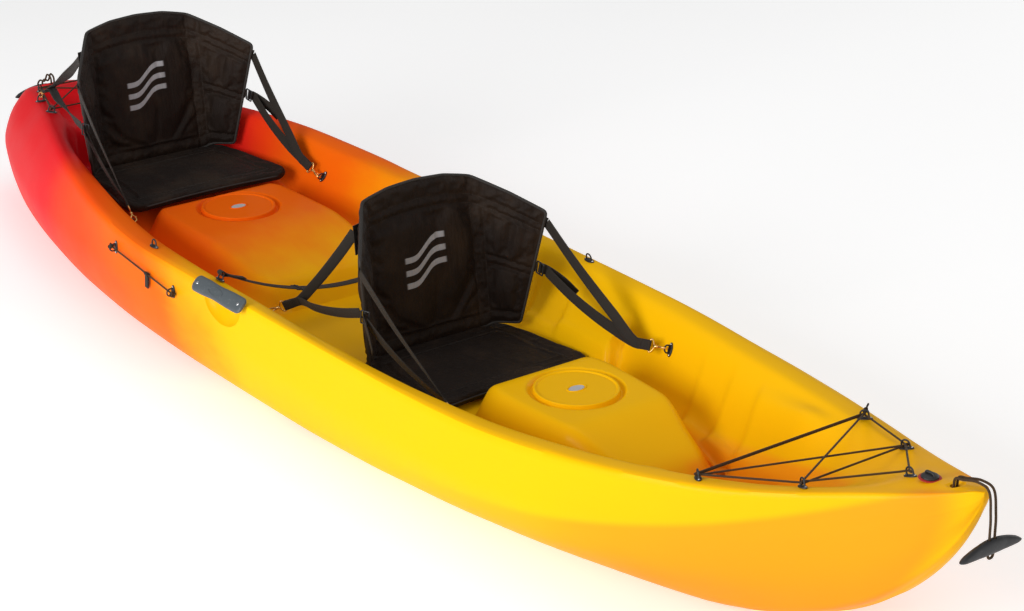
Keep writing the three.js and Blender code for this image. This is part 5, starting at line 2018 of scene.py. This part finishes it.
@dataclass(frozen=True)
class Puffing:
    """Settings of the cloth simulation that fills the sewn panels."""

    pressure: float = 3.2
    steps: int = 18
    growth: float = -0.045
    cap: float = 0.0100

    def run(self, made: bpy.types.Object, pins: np.ndarray) -> np.ndarray:
        """Fills a closed cover between its seams.

        Args:
            made: The cover; its mesh is left as it is.
            pins: One weight for each point, 1 where a seam holds it.

        Returns:
            Shift of each point in metres, none longer than the cap.
        """
        count = len(made.data.vertices)
        start = np.empty(count * 3)
        made.data.vertices.foreach_get("co", start)
        start = start.reshape(-1, 3)
        trial = bpy.data.objects.new("cover_trial", made.data.copy())
        bpy.context.scene.collection.objects.link(trial)
        group = trial.vertex_groups.new(name="seams")
        for index in np.nonzero(pins > 0.01)[0]:
            group.add([int(index)], float(pins[index]), "REPLACE")
        cloth = trial.modifiers.new("cloth", "CLOTH")
        settings = cloth.settings
        settings.quality = 6
        settings.mass = 0.25
        settings.tension_stiffness = settings.compression_stiffness = 18.0
        settings.shear_stiffness = 8.0
        settings.bending_stiffness = 0.6
        settings.use_pressure = True
        settings.uniform_pressure_force = self.pressure
        settings.shrink_min = self.growth
        settings.effector_weights.gravity = 0.0
        settings.vertex_group_mass = "seams"
        settings.pin_stiffness = 1.0
        cloth.collision_settings.use_collision = False
        cloth.point_cache.frame_start = 1
        cloth.point_cache.frame_end = self.steps
        scene = bpy.context.scene
        for step in range(1, self.steps + 1):
            scene.frame_set(step)
        shaped = trial.evaluated_get(bpy.context.evaluated_depsgraph_get()).data
        end = np.empty(count * 3)
        shaped.vertices.foreach_get("co", end)
        scene.frame_set(1)
        plain = trial.data
        bpy.data.objects.remove(trial)
        bpy.data.meshes.remove(plain)
        shift = end.reshape(-1, 3) - start
        size = np.linalg.norm(shift, axis=1)
        scale = np.where(size > self.cap, self.cap / np.maximum(size, 1e-9), 1.0)
        return shift * scale[:, None]


@dataclass
class SeatPattern:
    """Shape of the seat back and pad, and where they are sewn. Millimetres."""

    columns: tuple[tuple[Point, Point], ...] = (
        ((-6, 0, 3), (-66, 0, 380)), ((-4, 82, 3), (-63, 80, 376)),
        ((2, 158, 3), (-56, 154, 360)), ((30, 192, 5), (24, 212, 328)),
        ((62, 220, 7), (98, 266, 290)),
    )
    thick: float = 15.0
    pad_thick: float = 30.0
    tuck: float = 14.0
    across: int = 129
    tall: int = 73
    folds: tuple[float, float] = (1.86, 2.30)
    top_seams: tuple[float, float] = (0.885, 0.825)
    wing_seams: tuple[float, float] = (0.49, 0.43)
    foot_seam: float = 0.085
    covers: dict[str, tuple[np.ndarray, list, np.ndarray]] = field(default_factory=dict)
    lines: dict[str, list[np.ndarray]] = field(default_factory=dict)

    def rail(self, column: np.ndarray, end: int) -> np.ndarray:
        """Smooth foot or top line of the back.

        Args:
            column: Column numbers, negative to starboard.
            end: 0 for the foot and 1 for the top.

        Returns:
            N by 3 points in millimetres.
        """
        size = np.abs(column)
        knots = np.array([c[end] for c in self.columns], float)
        mirrored = np.vstack([knots[1] * (1, -1, 1), knots, 2 * knots[-1] - knots[-2]])
        i = np.clip(size.astype(int), 0, len(knots) - 2)
        t = (size - i)[:, None]
        a, b, c, d = (mirrored[i + k] for k in range(4))
        soft = 0.5 * (
            2 * b + (c - a) * t + (2 * a - 5 * b + 4 * c - d) * t**2
            + (3 * b - a - 3 * c + d) * t**3
        )
        plain = b + (c - b) * t
        out = plain * 0.82 + soft * 0.18
        out[:, 1] *= np.sign(column)
        if end == 0:
            out[:, 2] -= self.tuck * (1 - ease(1.7, 2.7, size))
        return out

    def back_at(self, column: np.ndarray, level: np.ndarray) -> np.ndarray:
        """Middle surface of the back."""
        foot, top = self.rail(column, 0), self.rail(column, 1)
        return foot + (top - foot) * np.asarray(level)[:, None]

    @staticmethod
    def _nearest(values: np.ndarray, line: float) -> int:
        """Index of the value nearest to a line."""
        return int(np.argmin(np.abs(values - line)))

    @classmethod
    def _snapped(cls, values: np.ndarray, lines: Iterable[float]) -> np.ndarray:
        """Moves the nearest value onto each line."""
        out = values.copy()
        for line in lines:
            out[cls._nearest(values, line)] = line
        return out

    @staticmethod
    def _border(grid: np.ndarray) -> np.ndarray:
        """Points round the border of a grid, once round."""
        return np.vstack([grid[:, 0], grid[-1, 1:], grid[-2::-1, -1], grid[0, -2:0:-1]])

    def back(self) -> None:
        """Makes the cover of a seat back once, round the seat's own origin."""
        folds = [s * f for f in self.folds for s in (-1, 1)]
        cols = self._snapped(np.linspace(-4, 4, self.across), folds)
        rows = self._snapped(
            np.linspace(0, 1, self.tall), [*self.top_seams, *self.wing_seams, self.foot_seam]
        )
        grid_c, grid_h = np.meshgrid(cols, rows, indexing="ij")
        c, h = grid_c.ravel(), grid_h.ravel()
        middle = self.back_at(c, h)
        e = 1e-3
        along = self.back_at(np.clip(c + e, -4, 4), h) - self.back_at(np.clip(c - e, -4, 4), h)
        up = self.back_at(c, np.clip(h + e, 0, 1)) - self.back_at(c, np.clip(h - e, 0, 1))
        shape = (self.across, self.tall)
        soft = unit(np.cross(along, up)).reshape(*shape, 3)
        for _ in range(3):
            soft[1:-1] = (soft[:-2] + 2 * soft[1:-1] + soft[2:]) / 4
        facing = unit(soft).reshape(-1, 3)
        size = np.abs(c)
        reach = (4 - size) * 62
        tall = np.linalg.norm(self.rail(c, 1) - self.rail(c, 0), axis=1)
        rim = np.minimum.reduce([reach, h * tall, (1 - h) * tall])
        seams = [np.abs(h - s) * tall for s in (*self.top_seams, self.foot_seam)]
        seams += [np.abs(size - f) * 70 for f in self.folds]
        in_wing = np.maximum(0, self.folds[1] - size) * 70
        seams += [np.hypot((h - s) * tall, in_wing) for s in self.wing_seams]
        near = np.minimum.reduce(seams)
        body = 0.30 + 0.70 * ease(0, 16, rim) ** 0.8
        half = self.thick / 2 * body * (0.40 + 0.60 * ease(0, 11, near) ** 0.7)
        rng = np.random.default_rng(7)
        ripple = np.zeros_like(c)
        for _ in range(9):
            k = rng.uniform(3.0, 8.5)
            slope = rng.uniform(-2.0, 2.0)
            ripple += np.sin(c * k + h * slope + rng.uniform(0, 6.28)) * rng.uniform(0.4, 1.0)
        ripple *= 0.42 * ease(4, 26, np.minimum(near, rim))
        panel = ease(6, 22, np.minimum(near, rim)) * (h < self.top_seams[1])
        fall = np.exp(-(self.top_seams[1] - h) / 0.22)
        pleat = np.sin(c * 11.5 + 0.6 * np.sin(c * 4.1) + h * 0.9) + 0.6 * np.sin(c * 19.0 + 1.3)
        ripple += pleat * fall * panel * 1.45
        front = middle + facing * (half + ripple * 0.9)[:, None]
        rear = middle - facing * (half + ripple * 0.3)[:, None]
        points, faces = self._closed(front, rear, shape)
        pins = np.zeros(len(points))
        held = (near < 2.6) | (rim < 4.0)
        pins[: held.size] = pins[held.size:] = held
        width = lengths(self.back_at(cols, np.full(len(cols), 0.5)))
        width -= width[len(width) // 2]
        u = np.repeat(width, self.tall) * MM
        v = (grid_h.ravel() - 0.52) * tall * MM
        chart = np.concatenate([np.stack([u, v], 1), np.stack([u + 2.0, v], 1)])
        cover = Workshop.mesh("back_trial", points * MM, faces)
        moved = points * MM + Puffing().run(cover, pins)
        bpy.data.objects.remove(cover)
        self.covers["back"] = (moved, faces, chart)
        grid = moved[: held.size].reshape(*shape, 3)
        hind = moved[held.size:].reshape(*shape, 3)
        lift = facing.reshape(*shape, 3) * 0.0005
        face, hidden = grid + lift, hind - lift
        index_c = [self._nearest(cols, f) for f in folds]
        index_h = [self._nearest(rows, s) for s in self.top_seams]
        foot_h = self._nearest(rows, self.foot_seam)
        lines = [face[i, foot_h:index_h[1]] for i in index_c]
        lines += [face[2:-2, k] for k in (*index_h, foot_h)]
        out_hi = self._nearest(cols, self.folds[1])
        out_lo = self._nearest(cols, -self.folds[1])
        for k in (self._nearest(rows, s) for s in self.wing_seams):
            lines += [face[out_hi:-2, k], face[2:out_lo + 1, k]]
        lines += [hidden[i, foot_h:index_h[1]] for i in index_c]
        lines += [hidden[2:-2, k] for k in (index_h[0], foot_h)]
        self.lines["back"] = lines
        self.lines["back_rim"] = [self._border((grid + hind) / 2)]

    @staticmethod
    def _closed(
        front: np.ndarray, rear: np.ndarray, shape: tuple[int, int]
    ) -> tuple[np.ndarray, list[tuple[int, ...]]]:
        """Joins two grids round their border.

        Args:
            front: Points of the face, grid order.
            rear: Points of the back, grid order.
            shape: Columns and rows.

        Returns:
            Points and faces.
        """
        n, m = shape
        total = n * m
        faces = []
        for i in range(n - 1):
            for j in range(m - 1):
                a, b, c, d = i * m + j, (i + 1) * m + j, (i + 1) * m + j + 1, i * m + j + 1
                faces.append((a, b, c, d))
                faces.append((total + d, total + c, total + b, total + a))
        ring = (
            [i * m for i in range(n)] + [(n - 1) * m + j for j in range(1, m)]
            + [i * m + m - 1 for i in range(n - 2, -1, -1)] + [j for j in range(m - 2, 0, -1)]
        )
        for k, a in enumerate(ring):
            b = ring[(k + 1) % len(ring)]
            faces.append((b, a, total + a, total + b))
        return np.vstack([front, rear]), faces

    def pad(self) -> None:
        """Makes the cover of a seat pad once, round the seat's own origin."""
        w, rear, front = 226.0, -4.0, 312.0
        corner = []
        curves = (
            ((rear, w - 62), (rear, w - 26), (rear + 36, w - 18)),
            ((rear + 36, w - 18), (rear + 90, w), (rear + 140, w + 1)),
            ((rear + 140, w + 1), (front - 120, w + 6), (front - 62, w + 20)),
            ((front - 62, w + 20), (front + 2, w + 26), (front, w - 40)),
        )
        for a, b, c in curves:
            for k in range(25):
                t = k / 24
                corner.append([
                    (1 - t) ** 2 * p + 2 * t * (1 - t) * q + t * t * r for p, q, r in zip(a, b, c)
                ])
        side = np.array(corner)
        n, m = 97, 113
        t = (1 - np.cos(np.linspace(0, math.pi, n))) / 2
        x = rear + 0.5 + (front - rear - 1.0) * (0.35 * np.linspace(0, 1, n) + 0.65 * t)
        wide = np.interp(x, side[:, 0], side[:, 1])
        s = np.sin(np.linspace(-math.pi / 2, math.pi / 2, m)) * 0.5 + np.linspace(-1, 1, m) * 0.5
        gx = np.repeat(x, m)
        gs = np.tile(s, n)
        gx = gx - 13 * (1 - gs**2) * ease(0.45, 1.0, (gx - rear) / (front - rear))
        gy = gs * np.repeat(wide, m)
        plan = np.stack([gx, gy], 1).reshape(n, m, 2)
        edge_x, edge_y = self._border(plan).T
        gap = np.sqrt((gx[:, None] - edge_x) ** 2 + (gy[:, None] - edge_y) ** 2).min(axis=1)
        half = self.pad_thick / 2
        bend = np.clip(gap / 17, 0, 1)
        dome = np.sqrt(np.maximum(0.0, 1 - (1 - bend) ** 2))
        seam = np.abs(gap - 44)
        dip = 6.2 * (1 - ease(0, 13, seam))
        tuck = 2.0 * ease(44, 70, gap)
        top = -half + half * dome * 0.97 - dip - 1.6 + tuck * 0.8
        low = -half - half * np.clip(gap / 9, 0, 1) ** 0.5 * 0.97
        upper = np.stack([gx, gy, top], axis=1)
        lower = np.stack([gx, gy, low], axis=1)
        points, faces = self._closed(upper, lower, (n, m))
        pins = np.zeros(len(points))
        pins[: n * m] = (seam < 2.4) | (gap < 1.0)
        pins[n * m:] = 1.0
        cover = Workshop.mesh("pad_trial", points * MM, faces)
        moved = points * MM + Puffing(pressure=2.4, growth=-0.012, cap=0.006).run(cover, pins)
        bpy.data.objects.remove(cover)
        chart = np.concatenate([
            np.stack([gy * MM + 5.0, gx * MM], 1), np.stack([gy * MM + 9.0, gx * MM], 1),
        ])
        self.covers["pad"] = (moved, faces, chart)
        drop = -half + half * 0.97 - 6.2 - 1.6
        rows = []
        for offset in (-1.6, 1.6):
            line = self._offset_line(plan, 44.0 + offset)
            rows.append(np.column_stack([line, np.full(len(line), drop + 0.9)]) * MM)
        self.lines["pad"] = rows
        edge = self._offset_line(plan, 0.6)
        self.lines["pad_rim"] = [np.column_stack([edge, np.full(len(edge), -half)]) * MM]

    @classmethod
    def _offset_line(cls, grid: np.ndarray, inset: float) -> np.ndarray:
        """Closed line a set distance inside the border of a flat grid.

        Args:
            grid: Columns by rows by 2 points.
            inset: The distance in millimetres.

        Returns:
            N by 2 points.
        """
        ring = cls._border(grid)
        run = lengths(ring)
        even = np.linspace(0, run[-1], 220, endpoint=False)
        ring = np.column_stack([np.interp(even, run, ring[:, k]) for k in (0, 1)])
        centre = ring.mean(axis=0)
        for _ in range(8):
            ring = (np.roll(ring, 1, 0) + 2 * ring + np.roll(ring, -1, 0)) / 4
        way = unit(np.roll(ring, -1, 0) - np.roll(ring, 1, 0))
        normal = np.column_stack([-way[:, 1], way[:, 0]])
        flip = np.sign(np.sum(normal * (centre - ring), axis=1)).mean()
        return ring + normal * inset * (1 if flip > 0 else -1)


@dataclass
class Seat:
    """One seat: back, pad, straps, snap hooks and buckles."""

    prefix: str
    x0: float
    z0: float
    pattern: SeatPattern
    eyes: PadEyes
    shop: Workshop
    web: float = 25.0
    web_thick: float = 2.2

    @property
    def body(self) -> str:
        """The body of the seat back."""
        return f"{self.prefix}_back"

    def base(self) -> np.ndarray:
        """The seat's origin in metres."""
        return np.array([self.x0, 0, self.z0]) * MM

    def point(self, column: float, level: float, side: int, shift: Sequence[float]) -> np.ndarray:
        """A point near the back, straight from its corner columns, in metres."""
        i = min(int(column), len(self.pattern.columns) - 2)
        t = column - i
        near, far = (np.array(self.pattern.columns[k]) for k in (i, i + 1))
        foot, top = near * (1 - t) + far * t
        p = foot + (top - foot) * level
        return (p * (1, side, 1) + np.asarray(shift, float)) * MM + self.base()

    def cover(self, kind: str, node: str, body: str, material: bpy.types.Material) -> None:
        """One padded cover with its stitches and edge binding.

        Args:
            kind: back or pad.
            node: The CAD node that it stands for.
            body: The body it rides on.
            material: Its cloth.
        """
        points, faces, chart = self.pattern.covers[kind]
        made = Workshop.mesh(f"{node}_cover", points + self.base(), faces, chart, 180.0)
        fine = made.modifiers.new("fine", "SUBSURF")
        fine.levels = fine.render_levels = 1
        Workshop.settled(made)
        self.shop.dress(made, material, Slot.CLOTH, body, [node])
        lines = [line + self.base() for line in self.pattern.lines[kind]]
        sewn = Repeater.stitches(f"{node}_stitches", lines, self.shop.wardrobe.thread)
        self.shop.dress(sewn, self.shop.wardrobe.thread, Slot.CLOTH, body)
        rim = self.pattern.lines[f"{kind}_rim"][0] + self.base()
        even = lengths(rim)
        stops = np.linspace(0, even[-1], 300, endpoint=False)
        rim = np.column_stack([np.interp(stops, even, rim[:, k]) for k in range(3)])
        for _ in range(2):
            rim = (np.roll(rim, 1, 0) + 2 * rim + np.roll(rim, -1, 0)) / 4
        size = 3.9 * MM if kind == "back" else 2.3 * MM
        tape = Workshop.tube(f"{node}_binding", rim, size, 10, closed=True)
        self.shop.dress(tape, self.shop.wardrobe.binding, Slot.CLOTH, body)

    def hook(
        self, tag: str, eye: str, target: np.ndarray
    ) -> tuple[np.ndarray, np.ndarray, np.ndarray]:
        """Swivel snap hook on a pad eye.

        Args:
            tag: front or rear with the side.
            eye: The eye it holds.
            target: The point that the strap pulls towards.

        Returns:
            Where the strap starts, its way and the direction of its width.
        """
        rod = self.eyes.rod_at(eye)
        u = self.eyes.places[eye].axes[0]
        pull = target - rod
        e1 = unit(pull - u * np.dot(pull, u))
        axes = np.array([e1, np.cross(u, e1), u])

        def local(rows: Sequence[Sequence[float]]) -> np.ndarray:
            """Points given along the hook's axes in millimetres."""
            return rod + (np.array(rows) * MM) @ axes

        loop = [(16, 0, 0), (14, 3.4, 0), (8, 5.8, 0), (0, 6.4, 0), (-4.4, 4.6, 0), (-6.4, 0, 0),
                (-4.4, -4.6, 0), (0, -6.4, 0)]
        claw = smooth_path(local(loop), 0.0009)
        size = np.interp(np.linspace(0, 1, len(claw)), [0, 0.2, 0.6, 1], [2.5, 2.2, 2.0, 1.6]) * MM
        parts = [Workshop.tube("claw", claw, size, 12)]
        gate = smooth_path(local([(15, 0, 0), (13, -3.6, 0), (7, -6.0, 0), (0.6, -6.3, 0)]), 0.0009)
        parts.append(Workshop.tube("gate", gate, 1.35 * MM, 10))
        knob = smooth_path(local([(8.0, -6.0, 0), (7.8, -7.6, 0), (7.6, -9.2, 0)]), 0.0008)
        parts.append(Workshop.tube("knob", knob, np.interp(
            np.linspace(0, 1, len(knob)), [0, 0.5, 1], [1.2, 1.2, 1.9]) * MM, 10))
        turned = np.array([axes[1], axes[2], axes[0]])
        shaft = [
            (0, 14.4), (2.6, 14.6), (3.4, 15.6), (3.4, 17.4), (2.5, 18.2), (2.5, 19.6), (3.7, 20.4),
            (3.9, 22.6), (3.9, 25.6), (3.4, 27.4), (2.4, 28.6), (0, 29.0),
        ]
        parts.append(Workshop.lathe("barrel", shaft, tuple(rod), turned, 24))
        for r in (1, -1):
            side = local([
                (27.4, 0, r * 1.5), (28.6, 0, r * 6), (31.5, 0, r * 12), (35, 0, r * 15),
                (38, 0, r * 14.6), (39.3, 0, r * 12), (39.4, 0, 0),
            ])
            parts.append(Workshop.tube("bail", smooth_path(side, 0.0012), 1.7 * MM, 12))
        made = Workshop.together(f"{self.prefix}_{tag}_snap_hook", parts)
        word, end = tag.split("_")
        self.shop.dress(
            made, self.shop.wardrobe.brass, Slot.BRASS, "hull", [f"{self.prefix}_{word}_hook_{end}"]
        )
        return local([(41.5, 0, 0)])[0], e1, u

    def strap_path(
        self, start: np.ndarray, way: np.ndarray, end: np.ndarray, droop: float
    ) -> np.ndarray:
        """Middle line of a strap from a hook to its end."""
        sewn = start + way * 0.034
        route = [start, start + way * 0.017, sewn]
        for t in (0.25, 0.5, 0.75):
            p = sewn + (end - sewn) * t
            p[2] -= droop * 4 * t * (1 - t) * MM
            route.append(p)
        route.append(end)
        return smooth_path(route, 0.006)

    def strap(
        self, node: str, hook: tuple[np.ndarray, np.ndarray, np.ndarray],
        legs: Sequence[tuple[np.ndarray, np.ndarray, float]],
        extras: Sequence[bpy.types.Object] = (),
    ) -> None:
        """Two straps sewn face to face at a hook.

        Args:
            node: The CAD node that they stand for.
            hook: Start, way and width direction at the hook.
            legs: For each strap its end, the direction of its width there and its droop.
            extras: Other tapes that go with them.
        """
        start, way, across = hook
        normal = np.cross(way, across)
        gap = legs[0][0] - legs[1][0]
        over = 1 if np.dot(gap, normal) >= 0 else -1
        parts = list(extras)
        rows = []
        for (end, wide, droop), layer in zip(legs, (over, -over)):
            wide = wide if np.dot(wide, across) >= 0 else -wide
            path = self.strap_path(start, way, end, droop)
            run = lengths(path)
            turn = ease(0.045, run[-1] - 0.02, run)[:, None]
            direction = unit(across * (1 - turn) + wide * turn)
            flat = unit(np.cross(np.gradient(path, axis=0), direction))
            path = path + flat * layer * (self.web_thick / 2 * 0.72) * MM
            curl = np.sin(run / 0.055) * 0.0009 * ease(0.05, 0.12, run)
            path = path + flat * curl[:, None]
            parts.append(Workshop.ribbon(
                "leg", path, direction, self.web * MM, (self.web_thick - 0.5) * MM
            ))
        loop = [
            start + way * (d * MM) + normal * (n * MM)
            for d, n in ((17, -1.9), (8, -2.3), (0, -2.6), (-4.4, -1.6), (-5.0, 0), (-4.4, 1.6),
                         (0, 2.6), (8, 2.3), (17, 1.9))
        ]
        line = smooth_path(loop, 0.0014)
        parts.append(Workshop.ribbon(
            "loop", line, np.tile(across, (len(line), 1)), (self.web - 1) * MM, 1.5 * MM
        ))
        for d in (14.0, 20.0, 31.0):
            for n in (-3.0, 3.0):
                centre = start + way * (d * MM) + normal * (n * MM * 0.9)
                rows.append(np.array([centre - across * 0.0105, centre + across * 0.0105]))
        made = Workshop.together(f"{node}_webbing", parts)
        self.shop.dress(made, self.shop.wardrobe.webbing, Slot.WEBBING, None, [node])
        far = (legs[0][0] + legs[1][0]) / 2
        tuple(start + way * 0.034)
        tuple(far - way * 0.01)
        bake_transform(made)
        sewn = Repeater.stitches(
            f"{node}_stitches", rows, self.shop.wardrobe.thread, 0.003, 0.00045
        )
        self.shop.dress(sewn, self.shop.wardrobe.thread, Slot.WEBBING)

    def lock(self, word: str, centre: np.ndarray, edge: np.ndarray, outward: np.ndarray) -> None:
        """Ladder-lock buckle with rounded frame and three bars."""
        place = Mounting(centre, fitting_axes(edge, outward))
        u, v, corner = 15.4, 11.2, 3.4
        route = []
        for cx, cy, start in ((1, 1, 0), (-1, 1, 90), (-1, -1, 180), (1, -1, 270)):
            for k in range(6):
                a = math.radians(start + k * 18)
                out = corner * math.cos(a), corner * math.sin(a)
                route.append(place.at(
                    cx * (u - corner) + out[0], cy * (v - corner) + out[1], 0
                ))
        parts = [Workshop.tube("frame", np.array(route), 1.75 * MM, 10, closed=True)]
        for q, n, r in ((0, 0.4, 2.5), (9.6, 1.0, 2.0), (-11.0, 0, 1.9)):
            row = [place.at(t, q, n) for t in (-u, -u / 2, 0, u / 2, u)]
            parts.append(Workshop.tube("bar", np.array(row), r * MM, 10))
        for t in np.linspace(-11, 11, 7):
            row = [place.at(t, q, n) for q, n in ((1.5, 2.2), (0, 3.0), (-1.5, 2.2))]
            parts.append(Workshop.tube("tooth", np.array(row), 0.7 * MM, 6))
        made = Workshop.together(f"{self.prefix}_{word}_lock", parts)
        self.shop.dress(
            made, self.shop.wardrobe.black, Slot.BLACK, self.body, [f"{self.prefix}_{word}_buckle"]
        )

    def make(self) -> None:
        """Builds the seat."""
        self.cover("back", f"{self.prefix}_back", self.body, self.shop.wardrobe.marked_cloth)
        self.cover("pad", f"{self.prefix}_pad", "hull", self.shop.wardrobe.cloth)
        for side in Side:
            self.side(side)

    def side(self, where: Side) -> None:
        """Builds the fittings of one side."""
        s, word = where.value, where.word
        upper = self.point(4, 0.9, s, (2, s * 7, 0))
        lock = self.point(4, 0.5, s, (14, s * 9, 0))
        edge = unit(self.point(4, 1, s, (0, 0, 0)) - self.point(4, 0, s, (0, 0, 0)))
        way = unit(np.array([0.92, s * 0.3, -0.2]))
        eye = f"{self.prefix}_{word}_eye"
        front = self.hook(f"{word}_front", f"{eye}_front", upper)
        self.lock(word, lock, edge, np.array([0.2 - 0.25 * s, s, 0]))
        lower = lock + way * 0.020
        tail = self.tail(lock, way, edge, s)
        self.strap(
            f"{self.prefix}_{word}_strap_front", front, [(upper, edge, 6), (lower, edge, 14)], [tail]
        )
        rear_top = self.point(2.3, 0.84, s, (-23, s * 10, 0))
        rear = self.hook(f"{word}_rear", f"{eye}_rear", rear_top)
        rear_end = lock - way * 0.021 + np.array([0, s * 0.005, 0])
        self.strap(
            f"{self.prefix}_{word}_strap_rear", rear,
            [(rear_top, np.array([0, 0, 1.0]), 8), (rear_end, edge, 10)],
        )
        self.patches(word, s, upper, lock, edge, way)

    def tail(self, lock: np.ndarray, way: np.ndarray, edge: np.ndarray, s: int) -> bpy.types.Object:
        """Free end of the lower strap, hanging in front of the lock."""
        steps = ((-6, 2, 0), (6, 6, 0), (30, 8, -3), (62, 10, -12), (94, 12, -28))
        path = smooth_path([
            lock + way * (a * MM) + np.array([0, s * b, z]) * MM for a, b, z in steps
        ], 0.006)
        across = np.tile(edge, (len(path), 1))
        return Workshop.ribbon("tail", path, across, self.web * MM, 1.7 * MM)

    def patches(
        self, word: str, s: int, upper: np.ndarray, lock: np.ndarray, edge: np.ndarray,
        way: np.ndarray,
    ) -> None:
        """Short tapes that fix the straps and the lock to the back.

        Args:
            word: The side's name.
            s: Its sign.
            upper: End of the upper strap.
            lock: Middle of the lock.
            edge: Direction of the wing's edge.
            way: Direction in which the lock pulls.
        """
        parts = []
        for middle, level, reach in ((upper, 0.9, 34), (lock - way * 0.010, 0.5, 40)):
            inner = self.point(4 - reach / 62, level, s, (3, s * 8, 0))
            line = smooth_path([inner, (inner + middle) / 2 + (0, s * 0.001, 0), middle], 0.006)
            parts.append(Workshop.ribbon(
                "patch", line, np.tile(edge, (len(line), 1)), self.web * MM, 1.8 * MM
            ))
        low = self.point(2.3, 0.70, s, (-15, s * 8, 0))
        high = self.point(2.3, 0.90, s, (-15, s * 8, 0))
        line = smooth_path([low, (low + high) / 2, high], 0.006)
        parts.append(Workshop.ribbon(
            "patch", line, np.tile(np.array([0.35, s * 0.9, 0.0]), (len(line), 1)), 0.030, 1.8 * MM
        ))
        made = Workshop.together(f"{self.prefix}_{word}_patches", parts)
        self.shop.dress(made, self.shop.wardrobe.webbing, Slot.WEBBING, self.body)


@dataclass
class MidStrap:
    """Webbing strap that hangs across the middle of the cockpit."""

    eyes: PadEyes
    shop: Workshop
    width: float = 25.0
    sag: float = 104.0

    def make(self) -> None:
        """Builds the strap, its end loops and its slider."""
        left = self.eyes.hole_at("mid_eye_starboard")
        right = self.eyes.hole_at("mid_eye_port")
        reach = right[1] - 14 * MM
        ys = np.linspace(-reach, reach, 41)
        zs = right[2] + 1 * MM - self.sag * MM * (1 - (ys / reach) ** 2)
        path = np.stack([np.full(41, right[0]), ys, zs], axis=1)
        across = np.tile(np.array([1.0, 0, 0]), (len(path), 1))
        parts = [Workshop.ribbon("strap", path, across, self.width * MM, 1.8 * MM)]
        for hole, s in ((left, -1), (right, 1)):
            rod = np.array([hole[0], hole[1], hole[2] + 8.9 * MM])
            loop = [(-64, -22.4), (-34, -11.0), (-16, -2.6), (-3.4, 0.6), (1.6, 3.0), (4.6, 8.9),
                    (1.6, 13.0), (-4, 12.2), (-12, 4.6), (-33, -7.4), (-64, -19.0)]
            line = smooth_path(
                [(rod[0], rod[1] + s * a * MM, rod[2] + (b - 8.9) * MM) for a, b in loop], 0.0018
            )
            flat = np.tile(np.array([1.0, 0, 0]), (len(line), 1))
            parts.append(Workshop.ribbon("loop", line, flat, self.width * 0.74 * MM, 1.5 * MM))
        made = Workshop.together("mid_strap_webbing", parts)
        self.shop.dress(made, self.shop.wardrobe.webbing, Slot.WEBBING, "hull", ["mid_strap"])
        slide_y = -0.17
        z = right[2] + 1 * MM - self.sag * MM * (1 - (slide_y / reach) ** 2)
        slope = 2 * self.sag * MM * slide_y / reach**2
        place = Mounting(
            np.array([right[0], slide_y, z]), fitting_axes((1, 0, 0), (0, -slope, 1))
        )
        bars = []
        for q in (-9, 0, 9):
            bars.append(Workshop.tube("bar", np.array([
                place.at(t, q, 1.7 if q == 0 else -0.2) for t in (-14.5, 0, 14.5)
            ]), 1.9 * MM, 10))
        for t in (-14.5, 14.5):
            bars.append(Workshop.tube("bar", np.array([
                place.at(t, q, 0) for q in (-10.4, -5, 0, 5, 10.4)
            ]), 2.1 * MM, 10))
        slider = Workshop.together("mid_strap_slider", bars)
        self.shop.dress(slider, self.shop.wardrobe.black, Slot.BLACK)


def main() -> None:
    """Builds the boat."""
    logging.basicConfig(level=logging.INFO, format="%(message)s")
    shop = Workshop(Wardrobe())
    bpy.context.scene.view_settings.view_transform = "Standard"
    Studio().make()
    form = HullForm()
    eyes = PadEyes(form, shop)
    eyes.locate()
    Rigging(form, eyes, shop).make()
    eyes.make()
    Hull(form, shop).make()
    pattern = SeatPattern()
    pattern.back()
    pattern.pad()
    Seat("front_seat", 104, 150, pattern, eyes, shop).make()
    Seat("rear_seat", -1192, 246, pattern, eyes, shop).make()
    MidStrap(eyes, shop).make()
    LOG.info("%d pieces", shop.count)


if __name__ == "__main__":
    main()
